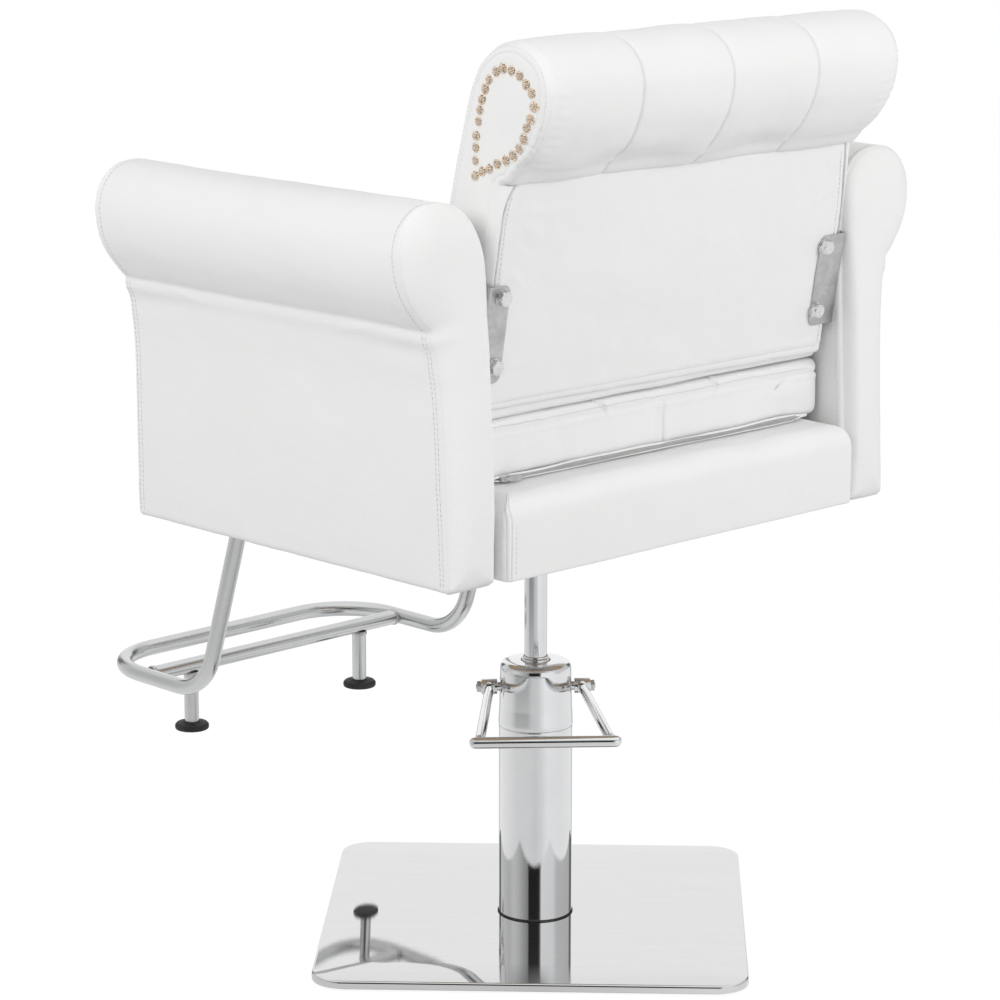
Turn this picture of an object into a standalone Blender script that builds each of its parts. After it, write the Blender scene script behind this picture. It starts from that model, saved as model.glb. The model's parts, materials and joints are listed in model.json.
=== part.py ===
"""Salon styling chair on a square hydraulic base.

Metres, +Z up. The origin is on the pump's axis, on the floor. The seat faces -Y
and the sitter's left is +X. The square base is turned about Z relative to the seat.
"""

import math

import bmesh
import bpy
from mathutils import Matrix, Vector

for old in list(bpy.data.objects):
    bpy.data.objects.remove(old, do_unlink=True)

COLLECTION = bpy.context.scene.collection

# ---------------------------------------------------------------- shared dimensions
GAP = 0.0003                        # clearance between neighbouring pieces
SIDES = (("left", 1), ("right", -1))    # name and sign of x

BASE_YAW = math.radians(-46.0)
PUMP_YAW = math.radians(-41.3)      # the pedal points along this frame's +Y
PEDAL_Z = 0.2800                    # height of the pedal's axis
PISTON_Z0, PISTON_Z1 = 0.1720, 0.1920
ROD_R = 0.0130
SEAT_BOTTOM_Z = 0.4910

# hex bolts into the seat frame and arms
BOLT_FLATS, BOLT_R, BOLT_HOLE_R = 0.0130, 0.0040, 0.0044
BOLT_HEAD_DROP = 0.0056             # from the clamped face to the far side of the head
BOLT_END_GAP = 0.0005
SEAT_BOLT_TIP_Z = 0.5030
SEAT_HOLE_TOP_Z = SEAT_BOLT_TIP_Z + BOLT_END_GAP

# ---------------------------------------------------------------- looks
CHROME = dict(colour=(0.78, 0.79, 0.80), roughness=0.06, metallic=1.0)
BRUSHED = dict(colour=(0.72, 0.72, 0.73), roughness=0.22, metallic=1.0)
STEEL = dict(colour=(0.42, 0.42, 0.43), roughness=0.40, metallic=1.0)
ZINC = dict(colour=(0.62, 0.61, 0.58), roughness=0.35, metallic=1.0)
RUBBER = dict(colour=(0.015, 0.015, 0.016), roughness=0.75, metallic=0.0)
PLY = dict(colour=(0.58, 0.42, 0.26), roughness=0.70, metallic=0.0)
LEATHER = dict(colour=(0.80, 0.79, 0.76), roughness=0.48, metallic=0.0)
NAIL = dict(colour=(0.62, 0.36, 0.27), roughness=0.28, metallic=1.0)
TAPE = dict(colour=(0.55, 0.54, 0.52), roughness=0.80, metallic=0.0)
CUTTER = dict(colour=(0.5, 0.5, 0.5), roughness=0.5, metallic=0.0)


def material(name, colour, roughness, metallic):
    mat = bpy.data.materials.new(name)
    mat.use_nodes = True
    shader = mat.node_tree.nodes["Principled BSDF"]
    shader.inputs["Base Color"].default_value = (*colour, 1.0)
    shader.inputs["Roughness"].default_value = roughness
    shader.inputs["Metallic"].default_value = metallic
    mat.diffuse_color = (*colour, 1.0)
    return mat


# ---------------------------------------------------------------- objects
def add_object(name, data, parent, at):
    ob = bpy.data.objects.new(name, data)
    ob.location = at
    ob.parent = parent
    COLLECTION.objects.link(ob)
    return ob


def empty(name, at=(0, 0, 0), turn=0.0, parent=None):
    ob = add_object(name, None, parent, at)
    ob.empty_display_size = 0.05
    ob.rotation_euler = (0, 0, turn)
    return ob


def body(name, shape, look, parent, at=(0, 0, 0), smooth=True):
    """One named object. shape is (verts, faces) in the parent's frame; the origin goes to at."""
    verts, faces = shape
    at = Vector(at)
    mesh = bpy.data.meshes.new(name)
    bm = bmesh.new()
    corners = [bm.verts.new(Vector(v) - at) for v in verts]
    for face in faces:
        bm.faces.new([corners[i] for i in face])
    bmesh.ops.recalc_face_normals(bm, faces=bm.faces)
    bm.normal_update()
    bm.to_mesh(mesh)
    bm.free()
    mesh.materials.append(material(name, **look))
    if smooth:
        mesh.shade_smooth()
        mesh.set_sharp_from_angle(angle=math.radians(40))
    return add_object(name, mesh, parent, at)


def boolean(ob, tool, name, operation):
    mod = ob.modifiers.new(name, "BOOLEAN")
    mod.operation = operation
    mod.solver = "EXACT"
    mod.object = tool


def make_helper(ob):
    ob.hide_render = True
    ob.display_type = "WIRE"


def share_cut(ob, cutter):
    boolean(ob, cutter, cutter.name, "DIFFERENCE")


def cut(ob, shape, name):
    """Makes a cutter, given in the parent's frame, and takes it out of ob."""
    cutter = body(name, shape, CUTTER, ob.parent, smooth=False)
    make_helper(cutter)
    share_cut(ob, cutter)
    return cutter


def weld(ob, part, name):
    """Joins a hidden part to ob."""
    make_helper(part)
    boolean(ob, part, name, "UNION")


# ---------------------------------------------------------------- shape helpers
def ring_faces(rows, n, closed_rows=False):
    """Quads between successive rings of n points."""
    faces = []
    for i in range(rows if closed_rows else rows - 1):
        a, b = i * n, ((i + 1) % rows) * n
        for j in range(n):
            k = (j + 1) % n
            faces.append((a + j, a + k, b + k, b + j))
    return faces


def loft(rings):
    """A closed solid through rings of equal count, with flat end caps."""
    n = len(rings[0])
    verts = [point for ring in rings for point in ring]
    faces = ring_faces(len(rings), n)
    faces.append(tuple(range(n)))
    faces.append(tuple(range((len(rings) - 1) * n, len(rings) * n)))
    return verts, faces


def sleeve(rings):
    """A closed solid whose rings run round its whole section and meet again."""
    return [point for ring in rings for point in ring], ring_faces(len(rings), len(rings[0]), True)


def turned(profile, n=24, centre=(0, 0), axis="Z"):
    """A turned piece from a (radius, height) profile.

    A profile that starts at radius 0 also ends there; any other is closed into a ring.
    """
    def place(r, h, j):
        angle = 2 * math.pi * (j + 0.5) / n
        a, b = centre[0] + r * math.cos(angle), centre[1] + r * math.sin(angle)
        return (a, b, h) if axis == "Z" else (h, a, b)

    if profile[0][0] != 0:
        return sleeve([[place(r, h, j) for j in range(n)] for r, h in profile])
    rows = profile[1:-1]
    verts = [place(r, h, j) for r, h in rows for j in range(n)]
    faces = ring_faces(len(rows), n)
    verts += [place(0, profile[0][1], 0), place(0, profile[-1][1], 0)]
    start, end = len(verts) - 2, len(verts) - 1
    last = (len(rows) - 1) * n
    for j in range(n):
        faces.append((start, j, (j + 1) % n))
        faces.append((end, last + j, last + (j + 1) % n))
    return verts, faces


def rod_profile(r, h0, h1):
    return [(0, h0), (r, h0), (r, h1), (0, h1)]


def tube_profile(bore_r, r, h0, h1):
    return [(bore_r, h0), (r, h0), (r, h1), (bore_r, h1)]


def mirrored(profile, sign):
    return [(r, sign * h) for r, h in profile]


def block(x0, x1, y0, y1, z0, z1):
    return loft([[(x0, y0, z), (x1, y0, z), (x1, y1, z), (x0, y1, z)] for z in (z0, z1)])


def round_rect(x0, x1, y0, y1, r, z, n=6):
    """A level rounded rectangle with n segments in each corner."""
    points = []
    for cx, cy, start in ((x1 - r, y1 - r, 0), (x0 + r, y1 - r, 90),
                          (x0 + r, y0 + r, 180), (x1 - r, y0 + r, 270)):
        for i in range(n + 1):
            a = math.radians(start + 90 * i / n)
            points.append((cx + r * math.cos(a), cy + r * math.sin(a), z))
    return points


def smooth_loop(points, per):
    """Closed Catmull-Rom curve through points, with per samples in each span."""
    n = len(points)
    curve = []
    for i in range(n):
        p = [Vector(points[(i + k) % n]) for k in (-1, 0, 1, 2)]
        for s in range(per):
            t = s / per
            curve.append(0.5 * ((2 * p[1]) + (p[2] - p[0]) * t
                                + (2 * p[0] - 5 * p[1] + 4 * p[2] - p[3]) * t * t
                                + (3 * p[1] - p[0] - 3 * p[2] + p[3]) * t * t * t))
    return curve


def bent_path(corners, steps):
    """Straight runs joined by bends. corners are (point, bend radius)."""
    path = [Vector(corners[0][0])]
    for i in range(1, len(corners) - 1):
        corner, radius = Vector(corners[i][0]), corners[i][1]
        back = (Vector(corners[i - 1][0]) - corner).normalized()
        ahead = (Vector(corners[i + 1][0]) - corner).normalized()
        half = back.angle(ahead) / 2
        setback = radius / math.tan(half)
        centre = corner + (back + ahead).normalized() * (radius / math.sin(half))
        start = corner + back * setback - centre
        end = corner + ahead * setback - centre
        turn = start.angle(end)
        axis = start.cross(end).normalized()
        for k in range(steps + 1):
            path.append(centre + Matrix.Rotation(turn * k / steps, 3, axis) @ start)
    path.append(Vector(corners[-1][0]))
    return path


def cross_axes(path):
    """Twist-free pairs of axes square to the path, one pair for each point."""
    tangents = []
    for i in range(len(path)):
        if i == 0:
            d = path[1] - path[0]
        elif i == len(path) - 1:
            d = path[-1] - path[-2]
        else:
            d = (path[i + 1] - path[i]).normalized() + (path[i] - path[i - 1]).normalized()
        tangents.append(d.normalized())
    first = tangents[0]
    up = Vector((0, 0, 1)) if abs(first.z) < 0.9 else Vector((1, 0, 0))
    u = (up - first * up.dot(first)).normalized()
    axes = []
    for t in tangents:
        u = (u - t * u.dot(t)).normalized()
        axes.append((u, t.cross(u)))
    return axes


def swept(path, r, n=12, bore=None):
    """A round bar, or with a bore radius an open-ended tube, along a path."""
    axes = cross_axes(path)

    def ring(i, radius):
        u, v = axes[i]
        angles = [2 * math.pi * j / n for j in range(n)]
        return [path[i] + (u * math.cos(a) + v * math.sin(a)) * radius for a in angles]

    outer = [ring(i, r) for i in range(len(path))]
    if bore is None:
        return loft(outer)
    return sleeve(outer + [ring(i, bore) for i in reversed(range(len(path)))])


def hexbolt(x, y, head_low, head_high, tip, across_flats, shank_r):
    """A bolt along Z, its head below its shank."""
    n = 12

    def ring(radius, z, hexagonal=False):
        points = []
        for j in range(n):
            a = 2 * math.pi * j / n
            r = radius
            if hexagonal:
                part = (j * 6 / n) % 1.0
                r = radius * math.cos(math.pi / 6) / math.cos(math.pi / 3 * part - math.pi / 6)
            points.append((x + r * math.cos(a), y + r * math.sin(a), z))
        return points

    head_r = across_flats / math.sqrt(3)
    return loft([ring(head_r, head_low, True), ring(head_r, head_high, True),
                 ring(shank_r, head_high), ring(shank_r, tip)])


# ---------------------------------------------------------------- joint frames
base = empty("base_frame", turn=BASE_YAW)
pump = empty("pump_frame", turn=PUMP_YAW)
pedal = empty("pedal_axis", at=(0, 0, PEDAL_Z), parent=pump)
lift = empty("lift_axis")
seat = empty("swivel_axis", parent=lift)

# ---------------------------------------------------------------- base plate
PLATE_HALF = 0.480 / 2
PLATE_CORNER_R = 0.036
PLATE_TOP_Z = 0.0120
COVER_T = 0.0012
MAT_TOP_Z = 0.0015
WEIGHT_LOW_Z = MAT_TOP_Z + GAP
WEIGHT_TOP_Z = PLATE_TOP_Z - COVER_T - GAP
POCKET_R, POCKET_Z = 0.0725, 0.0050     # pocket for the pump's flange
SKIRT_LOW_Z = 0.0028
TUBE_R, TUBE_WALL = 0.0420, 0.0025

# (inset, z) of the cover's outside
COVER_RINGS = [
    (0.0016, SKIRT_LOW_Z), (0.0004, SKIRT_LOW_Z + 0.0006), (0.0, SKIRT_LOW_Z + 0.0018),
    (0.0, PLATE_TOP_Z - 0.0016), (0.0006, PLATE_TOP_Z - 0.0004), (0.0016, PLATE_TOP_Z)]
# (radius, z)
GASKET = [(TUBE_R + 0.0004, PLATE_TOP_Z + GAP), (TUBE_R + 0.0026, PLATE_TOP_Z + GAP),
          (TUBE_R + 0.0022, PLATE_TOP_Z + 0.0024), (TUBE_R + 0.0004, PLATE_TOP_Z + 0.0028)]


def plate_loft(stations):
    """The square plate's outline through (inset, z) stations."""
    rings = []
    for inset, z in stations:
        half = PLATE_HALF - inset
        rings.append(round_rect(-half, half, -half, half, PLATE_CORNER_R - inset, z))
    return loft(rings)


def build_base():
    body("floor_mat", plate_loft([(0.008, 0.0), (0.008, MAT_TOP_Z)]), RUBBER, base)

    weight = body("weight_plate",
                  plate_loft([(0.004, WEIGHT_LOW_Z), (0.0025, WEIGHT_LOW_Z + 0.0015),
                              (0.0025, WEIGHT_TOP_Z)]), STEEL, base)
    cut(weight, turned(rod_profile(POCKET_R, POCKET_Z, 0.02), 32), "cut_flange_pocket")

    cover = body("plate_cover", plate_loft(COVER_RINGS), BRUSHED, base)
    hollow = plate_loft([(0.0021, -0.01), (0.0021, PLATE_TOP_Z - COVER_T)])
    cut(cover, hollow, "cut_cover_hollow")
    cut(cover, turned(rod_profile(TUBE_R + 0.0006, 0.0, 0.03), 32), "cut_cover_hole")

    body("tube_gasket", turned(GASKET, 32), RUBBER, base)
    return weight


# ---------------------------------------------------------------- pump
FLANGE_R, FLANGE_LOW_Z, FLANGE_TOP_Z = 0.0720, POCKET_Z + GAP, 0.0103
FLANGE_REST_Z = FLANGE_TOP_Z + GAP
CYL_R, CYL_BORE_R, CYL_FLOOR_Z, CYL_TOP_Z = 0.0215, 0.0168, 0.0180, 0.2880
TUBE_TOP_Z = 0.2365
HEAD_BASE_R, HEAD_TOP_R, HEAD_TOP_Z = 0.0425, 0.0405, 0.3120
HEAD_WALL, HEAD_HOLE_R = 0.0022, 0.0168
TRUNNION_HOLE_R = 0.0056
SCREW_CIRCLE_R = 0.0600
GLAND_BORE_R, GLAND_NECK_R = 0.0134, 0.0164

# Turned profiles, (radius, z).
PUMP_BODY = [
    (0, FLANGE_LOW_Z), (FLANGE_R, FLANGE_LOW_Z), (FLANGE_R, FLANGE_TOP_Z),
    (CYL_R + 0.004, FLANGE_TOP_Z), (CYL_R, FLANGE_TOP_Z + 0.006), (CYL_R, CYL_TOP_Z),
    (CYL_BORE_R, CYL_TOP_Z), (CYL_BORE_R, CYL_FLOOR_Z), (0, CYL_FLOOR_Z)]
SCREW_LOW_Z = 0.0021
FLANGE_SCREW = [(0, SCREW_LOW_Z), (0.0070, SCREW_LOW_Z), (0.0070, 0.0023),
                (0.0040, 0.0050), (0.0040, 0.0101), (0, 0.0101)]
SCREW_HOLE = [(0, 0.0), (0.0074, 0.0), (0.0074, 0.0022),
              (0.0044, 0.0049), (0.0044, 0.02), (0, 0.02)]
HEAD_COVER = [
    # outside, upwards
    (HEAD_BASE_R - HEAD_WALL, TUBE_TOP_Z + GAP), (HEAD_BASE_R, TUBE_TOP_Z + GAP),
    (HEAD_BASE_R, TUBE_TOP_Z + 0.004), (HEAD_BASE_R - 0.0009, TUBE_TOP_Z + 0.022),
    (HEAD_TOP_R, HEAD_TOP_Z - 0.010), (HEAD_TOP_R - 0.0025, HEAD_TOP_Z - 0.0035),
    (HEAD_TOP_R - 0.008, HEAD_TOP_Z - 0.0012), (HEAD_HOLE_R, HEAD_TOP_Z),
    # inside, downwards
    (HEAD_HOLE_R, HEAD_TOP_Z - HEAD_WALL),
    (HEAD_TOP_R - 0.009, HEAD_TOP_Z - 0.0012 - HEAD_WALL),
    (HEAD_TOP_R - 0.0045, HEAD_TOP_Z - 0.0055), (HEAD_TOP_R - HEAD_WALL, HEAD_TOP_Z - 0.011),
    (HEAD_BASE_R - 0.0009 - HEAD_WALL, TUBE_TOP_Z + 0.022)]
ROD_GLAND = [
    (GLAND_BORE_R, CYL_TOP_Z + GAP), (0.0212, CYL_TOP_Z + GAP), (0.0212, CYL_TOP_Z + 0.0035),
    (GLAND_NECK_R, CYL_TOP_Z + 0.0045), (GLAND_NECK_R, HEAD_TOP_Z + 0.0010),
    (0.0156, HEAD_TOP_Z + 0.0020), (GLAND_BORE_R, HEAD_TOP_Z + 0.0020)]

PLUNGER_Y = 0.0318
BARREL_LOW_Z, BARREL_TOP_Z, BARREL_FLOOR_Z = FLANGE_REST_Z + 0.0002, 0.2000, 0.1200
BARREL_R, BARREL_BORE_R = 0.0068, 0.0042
PLUNGER_TOP_Z = 0.2750
BARREL = [(0, BARREL_LOW_Z), (BARREL_R, BARREL_LOW_Z), (BARREL_R, BARREL_TOP_Z),
          (BARREL_BORE_R, BARREL_TOP_Z), (BARREL_BORE_R, BARREL_FLOOR_Z), (0, BARREL_FLOOR_Z)]
PLUNGER = [(0, 0.1500), (0.0036, 0.1500), (0.0036, 0.2660), (0.0060, 0.2665),
           (0.0060, 0.2715), (0.0030, PLUNGER_TOP_Z), (0, PLUNGER_TOP_Z)]
COIL_TURNS, COIL_STEPS_PER_TURN = 6, 10
COIL_R, COIL_WIRE_R = 0.0053, 0.0008
COIL_START_Z, COIL_RISE = BARREL_TOP_Z + 0.0013, 0.2655 - BARREL_TOP_Z - 0.0020


def build_pump(weight):
    pump_body = body("pump_body", turned(PUMP_BODY), STEEL, pump)
    for i in range(4):
        a = math.radians(45 + 90 * i)
        x, y = SCREW_CIRCLE_R * math.cos(a), SCREW_CIRCLE_R * math.sin(a)
        # The holes turn with the pump, so the plate and the flange share a cutter.
        cutter = cut(pump_body, turned(SCREW_HOLE, 12, (x, y)), f"cut_flange_screw_{i + 1}")
        share_cut(weight, cutter)
        body(f"flange_screw_{i + 1}", turned(FLANGE_SCREW, 12, (x, y)), ZINC, pump,
             at=(x, y, SCREW_LOW_Z))

    tube = tube_profile(TUBE_R - TUBE_WALL, TUBE_R, FLANGE_REST_Z, TUBE_TOP_Z)
    body("pump_tube", turned(tube, 32), CHROME, pump)
    head = body("pump_head_cover", turned(HEAD_COVER, 32), CHROME, pump)
    trunnion = turned(rod_profile(TRUNNION_HOLE_R, -0.06, 0.06), 16, (0, PEDAL_Z), axis="X")
    cut(head, trunnion, "cut_trunnion_hole")
    body("rod_gland", turned(ROD_GLAND), CHROME, pump)


def build_plunger():
    centre = (0, PLUNGER_Y)
    body("plunger_barrel", turned(BARREL, 12, centre), STEEL, pump, at=(*centre, BARREL_TOP_Z))
    body("plunger", turned(PLUNGER, 12, centre), ZINC, pump, at=(*centre, PLUNGER_TOP_Z))
    coil = []
    steps = COIL_TURNS * COIL_STEPS_PER_TURN
    for i in range(steps + 1):
        t = i / steps
        a = 2 * math.pi * COIL_TURNS * t
        coil.append(Vector((COIL_R * math.cos(a), PLUNGER_Y + COIL_R * math.sin(a),
                            COIL_START_Z + COIL_RISE * t)))
    body("plunger_spring", swept(coil, COIL_WIRE_R, 5), STEEL, pump, at=(*centre, BARREL_TOP_Z))


# ---------------------------------------------------------------- pedal, in its axis frame
PEDAL_REACH, PEDAL_DROP = 0.2005, 0.0060
PEDAL_BAR_HALF, PEDAL_BAR_R = 0.0827, 0.0064
PEDAL_ARM_X, PEDAL_ARM_END_X = 0.0530, 0.0713   # where an arm leaves its hub and where it ends
PEDAL_ARM_Y, PEDAL_ARM_END_Y = 0.0092, PEDAL_REACH - 0.0020
PEDAL_ARM_R, HUB_CUT_R = 0.0056, 0.0068
YOKE_IN_R, YOKE_OUT_R, YOKE_HALF_T = 0.0290, 0.0352, 0.003

# (radius, distance from the middle along X)
HUB = [(0, 0.0356), (0.0052, 0.0356), (0.0052, 0.0436), (0.0088, 0.0438), (0.0088, 0.0620),
       (0.0075, 0.0634), (0.0042, 0.0634), (0.0042, 0.0540), (0, 0.0540)]
HUB_NUT = [(0, 0.0545), (0.0038, 0.0545), (0.0038, 0.0638), (0.0066, 0.0638),
           (0.0066, 0.0668), (0.0040, 0.0690), (0, 0.0690)]


def build_pedal_bar():
    """A bar with domed ends, welded to the two arms."""
    dome = [(0, -PEDAL_BAR_HALF)]
    for i in range(1, 5):
        a = math.radians(90 * i / 4)
        dome.append((PEDAL_BAR_R * math.sin(a),
                     -PEDAL_BAR_HALF + PEDAL_BAR_R * (1 - math.cos(a))))
    profile = dome + mirrored(reversed(dome), -1)
    bar = body("pedal_bar", turned(profile, 12, (PEDAL_REACH, -PEDAL_DROP), axis="X"),
               CHROME, pedal)
    for side, sx in SIDES:
        path = [Vector((sx * PEDAL_ARM_X, PEDAL_ARM_Y, 0.0)),
                Vector((sx * PEDAL_ARM_END_X, PEDAL_ARM_END_Y, -PEDAL_DROP))]
        arm = body(f"pedal_arm_{side}", swept(path, PEDAL_ARM_R), CHROME, pedal)
        weld(bar, arm, f"weld_arm_{side}")


def build_pedal_hubs():
    for side, sx in SIDES:
        hub = body(f"pedal_hub_{side}", turned(mirrored(HUB, sx), 16, axis="X"), CHROME, pedal)
        path = [Vector((sx * PEDAL_ARM_X, 0.0076, 0.0)),
                Vector((sx * (PEDAL_ARM_X + 0.002), 0.03, 0.0))]
        cut(hub, swept(path, HUB_CUT_R), f"cut_hub_flat_{side}")
        body(f"hub_nut_{side}", turned(mirrored(HUB_NUT, sx), 12, axis="X"), ZINC, pedal)


def build_rocker_yoke():
    corners = [(YOKE_IN_R, -YOKE_HALF_T), (YOKE_OUT_R, -YOKE_HALF_T),
               (YOKE_OUT_R, YOKE_HALF_T), (YOKE_IN_R, YOKE_HALF_T)]
    rings = []
    for i in range(13):
        a = math.radians(-10 + 200 * i / 12)
        rings.append([(r * math.cos(a), r * math.sin(a), z) for r, z in corners])
    body("rocker_yoke", loft(rings), STEEL, pedal)


# ---------------------------------------------------------------- piston, rod and seat mount
PISTON_R, PISTON_BORE_R, PISTON_FLOOR_Z = 0.0164, 0.0064, PISTON_Z0 + 0.005
GROOVE_R, GROOVE_Z0, GROOVE_Z1 = 0.0142, PISTON_Z0 + 0.006, PISTON_Z0 + 0.012
ROD_TIP_R, ROD_TIP_Z, ROD_TOP_Z = 0.0060, PISTON_Z0 + 0.008, 0.4835
SEAT_PLATE_HALF, SEAT_PLATE_CORNER_R = 0.11, 0.012
SEAT_PLATE_Z0, SEAT_PLATE_Z1 = 0.4862, 0.4907
SEAT_BOLT_XY = 0.09
HUB_BORE_R, HUB_LOW_Z, HUB_TOP_Z = ROD_R + 0.0004, 0.4620, SEAT_PLATE_Z0 - GAP

# (radius, z)
PISTON = [
    (0, PISTON_Z0), (PISTON_R, PISTON_Z0), (PISTON_R, GROOVE_Z0), (GROOVE_R, GROOVE_Z0),
    (GROOVE_R, GROOVE_Z1), (PISTON_R, GROOVE_Z1), (PISTON_R, PISTON_Z1),
    (PISTON_BORE_R, PISTON_Z1), (PISTON_BORE_R, PISTON_FLOOR_Z), (0, PISTON_FLOOR_Z)]
PISTON_ROD = [
    (0, ROD_TIP_Z), (ROD_TIP_R, ROD_TIP_Z), (ROD_TIP_R, PISTON_Z1 + GAP),
    (ROD_R, PISTON_Z1 + GAP), (ROD_R, ROD_TOP_Z - 0.002), (ROD_R - 0.002, ROD_TOP_Z),
    (0, ROD_TOP_Z)]
SEAT_HUB = [
    (HUB_BORE_R, HUB_LOW_Z), (0.0240, HUB_LOW_Z), (0.0250, 0.4635), (0.0285, 0.4740),
    (0.0360, HUB_TOP_Z), (HUB_BORE_R, HUB_TOP_Z)]


def build_piston():
    """The piston rises but does not turn."""
    at = (0, 0, PISTON_Z0)
    body("piston_head", turned(PISTON), STEEL, lift, at=at)
    seal = tube_profile(GROOVE_R + GAP, 0.0165, GROOVE_Z0 + GAP, GROOVE_Z1 - GAP)
    body("piston_seal", turned(seal), RUBBER, lift, at=at)


def build_seat_mount(seat_frame):
    body("piston_rod", turned(PISTON_ROD), CHROME, seat)
    body("seat_hub", turned(SEAT_HUB), STEEL, seat)
    half = SEAT_PLATE_HALF
    plate = body("seat_plate",
                 loft([round_rect(-half, half, -half, half, SEAT_PLATE_CORNER_R, z, 3)
                       for z in (SEAT_PLATE_Z0, SEAT_PLATE_Z1)]), STEEL, seat)
    head_low = SEAT_PLATE_Z0 - BOLT_HEAD_DROP
    for i, (sx, sy) in enumerate(((1, 1), (-1, 1), (-1, -1), (1, -1))):
        x, y = sx * SEAT_BOLT_XY, sy * SEAT_BOLT_XY
        hole = turned(rod_profile(BOLT_HOLE_R, 0.47, SEAT_HOLE_TOP_Z), 12, (x, y))
        share_cut(seat_frame, cut(plate, hole, f"cut_seat_bolt_{i + 1}"))
        bolt = hexbolt(x, y, head_low, SEAT_PLATE_Z0 - GAP, SEAT_BOLT_TIP_Z, BOLT_FLATS, BOLT_R)
        body(f"seat_bolt_{i + 1}", bolt, ZINC, seat, at=(x, y, head_low))


# ---------------------------------------------------------------- seat
APRON_HALF_W, APRON_REAR_Y, APRON_FRONT_Y = 0.2705, 0.2354, -0.2720
APRON_TOP_Z, APRON_WALL = 0.5800, 0.0260
FRAME_INSET = APRON_WALL + 0.0005
FRAME_HALF_W = APRON_HALF_W - FRAME_INSET
FRAME_FRONT_Y, FRAME_REAR_Y = APRON_FRONT_Y + FRAME_INSET, APRON_REAR_Y - FRAME_INSET
FRAME_WALL, FRAME_FLOOR_T = 0.020, 0.015
FRAME_IN_X = FRAME_HALF_W - FRAME_WALL
CUSHION_HALF_W, CUSHION_REAR_Y, CUSHION_FRONT_Y = 0.2690, 0.1800, -0.2850
ZIP_Z, TAPE_HALF_W, TAPE_HALF_H = 0.5855, 0.2320, 0.0045
SLIDER_X, SLIDER_Y = 0.2240, CUSHION_REAR_Y + 0.0018

# (inset, z), up the outside and down the inside
APRON_RINGS = [
    (0.0015, SEAT_BOTTOM_Z), (0.0, SEAT_BOTTOM_Z + 0.002), (0.0, 0.558), (0.003, 0.568),
    (0.010, 0.5765), (0.018, APRON_TOP_Z), (APRON_WALL, APRON_TOP_Z),
    (APRON_WALL, SEAT_BOTTOM_Z)]
# (inset, z), upwards
CUSHION_RINGS = [
    (0.012, 0.5806), (0.003, 0.5866), (0.0, 0.600), (0.0, 0.630),
    (0.004, 0.6405), (0.014, 0.6485), (0.080, 0.6560), (0.150, 0.6640)]
# (half width, half height, y) of the slider's sections
SLIDER_SECTIONS = [(0.0060, 0.0043, 0.0), (0.0060, 0.0043, 0.0030), (0.0040, 0.0030, 0.0042)]


def build_seat_frame():
    """A plywood tray, open at the top."""
    outline = (-FRAME_HALF_W, FRAME_HALF_W, FRAME_FRONT_Y, FRAME_REAR_Y, 0.006)
    frame = body("seat_frame",
                 loft([round_rect(*outline, z, 2)
                       for z in (SEAT_BOTTOM_Z + 0.0002, APRON_TOP_Z - 0.002)]),
                 PLY, seat, smooth=False)
    tray = block(-FRAME_IN_X, FRAME_IN_X, FRAME_FRONT_Y + FRAME_WALL, FRAME_REAR_Y - FRAME_WALL,
                 SEAT_BOTTOM_Z + FRAME_FLOOR_T, 0.62)
    cut(frame, tray, "cut_seat_frame_tray")
    return frame


def build_apron():
    """The upholstered band round the seat frame."""
    return body("apron", sleeve([
        round_rect(-APRON_HALF_W + inset, APRON_HALF_W - inset, APRON_FRONT_Y + inset,
                   APRON_REAR_Y - inset, max(0.010 - inset, 0.003), z, 4)
        for inset, z in APRON_RINGS]), LEATHER, seat)


def build_cushion():
    body("seat_cushion", loft([
        round_rect(-CUSHION_HALF_W + inset, CUSHION_HALF_W - inset, CUSHION_FRONT_Y + inset,
                   CUSHION_REAR_Y - inset, max(0.014 - inset * 0.5, 0.008), z, 4)
        for inset, z in CUSHION_RINGS]), LEATHER, seat)


def build_zipper():
    """Tape and slider on the cushion's rear face."""
    tape = block(-TAPE_HALF_W, TAPE_HALF_W, CUSHION_REAR_Y + 0.0004, CUSHION_REAR_Y + 0.0014,
                 ZIP_Z - TAPE_HALF_H, ZIP_Z + TAPE_HALF_H)
    body("zipper_tape", tape, TAPE, seat, smooth=False)
    zip_axis = empty("zip_axis", at=(SLIDER_X, SLIDER_Y, ZIP_Z), parent=seat)
    slider = loft([[(-w, y, -h), (w, y, -h), (w, y, h), (-w, y, h)]
                   for w, h, y in SLIDER_SECTIONS])
    body("zipper_slider", slider, ZINC, zip_axis, smooth=False)


# ---------------------------------------------------------------- arms
ARM_IN_X, ARM_OUT_X = 0.2755, 0.3415
ARM_MID_X = (ARM_IN_X + ARM_OUT_X) / 2
ARM_BOTTOM_Z, ARM_FRONT_Y = 0.4860, -0.2870
ARM_REAR_Y, ARM_REAR_Z, ARM_REAR_LEAN = 0.2188, 0.492, -0.0437   # a point and dy/dz of the rear
ROLL_X, ROLL_Z, ROLL_RX, ROLL_RZ = 0.3320, 0.8270, 0.0580, 0.0575
CORE_IN_X, CORE_OUT_X = ARM_MID_X - 0.0230 / 2, ARM_MID_X + 0.0230 / 2
ARM_BOLT_Z, ARM_BOLT_TIP_X = 0.532, 0.3140
ARM_BOLTS = (("front", -0.190), ("rear", 0.140))    # name and y

# Each end ring as (inset, y offset), from front to rear.
ARM_FRONT_RINGS = ((0.010, 0.0), (0.0, 0.008))
ARM_REAR_RINGS = ((0.0, -0.002), (0.012, 0.008))


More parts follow.
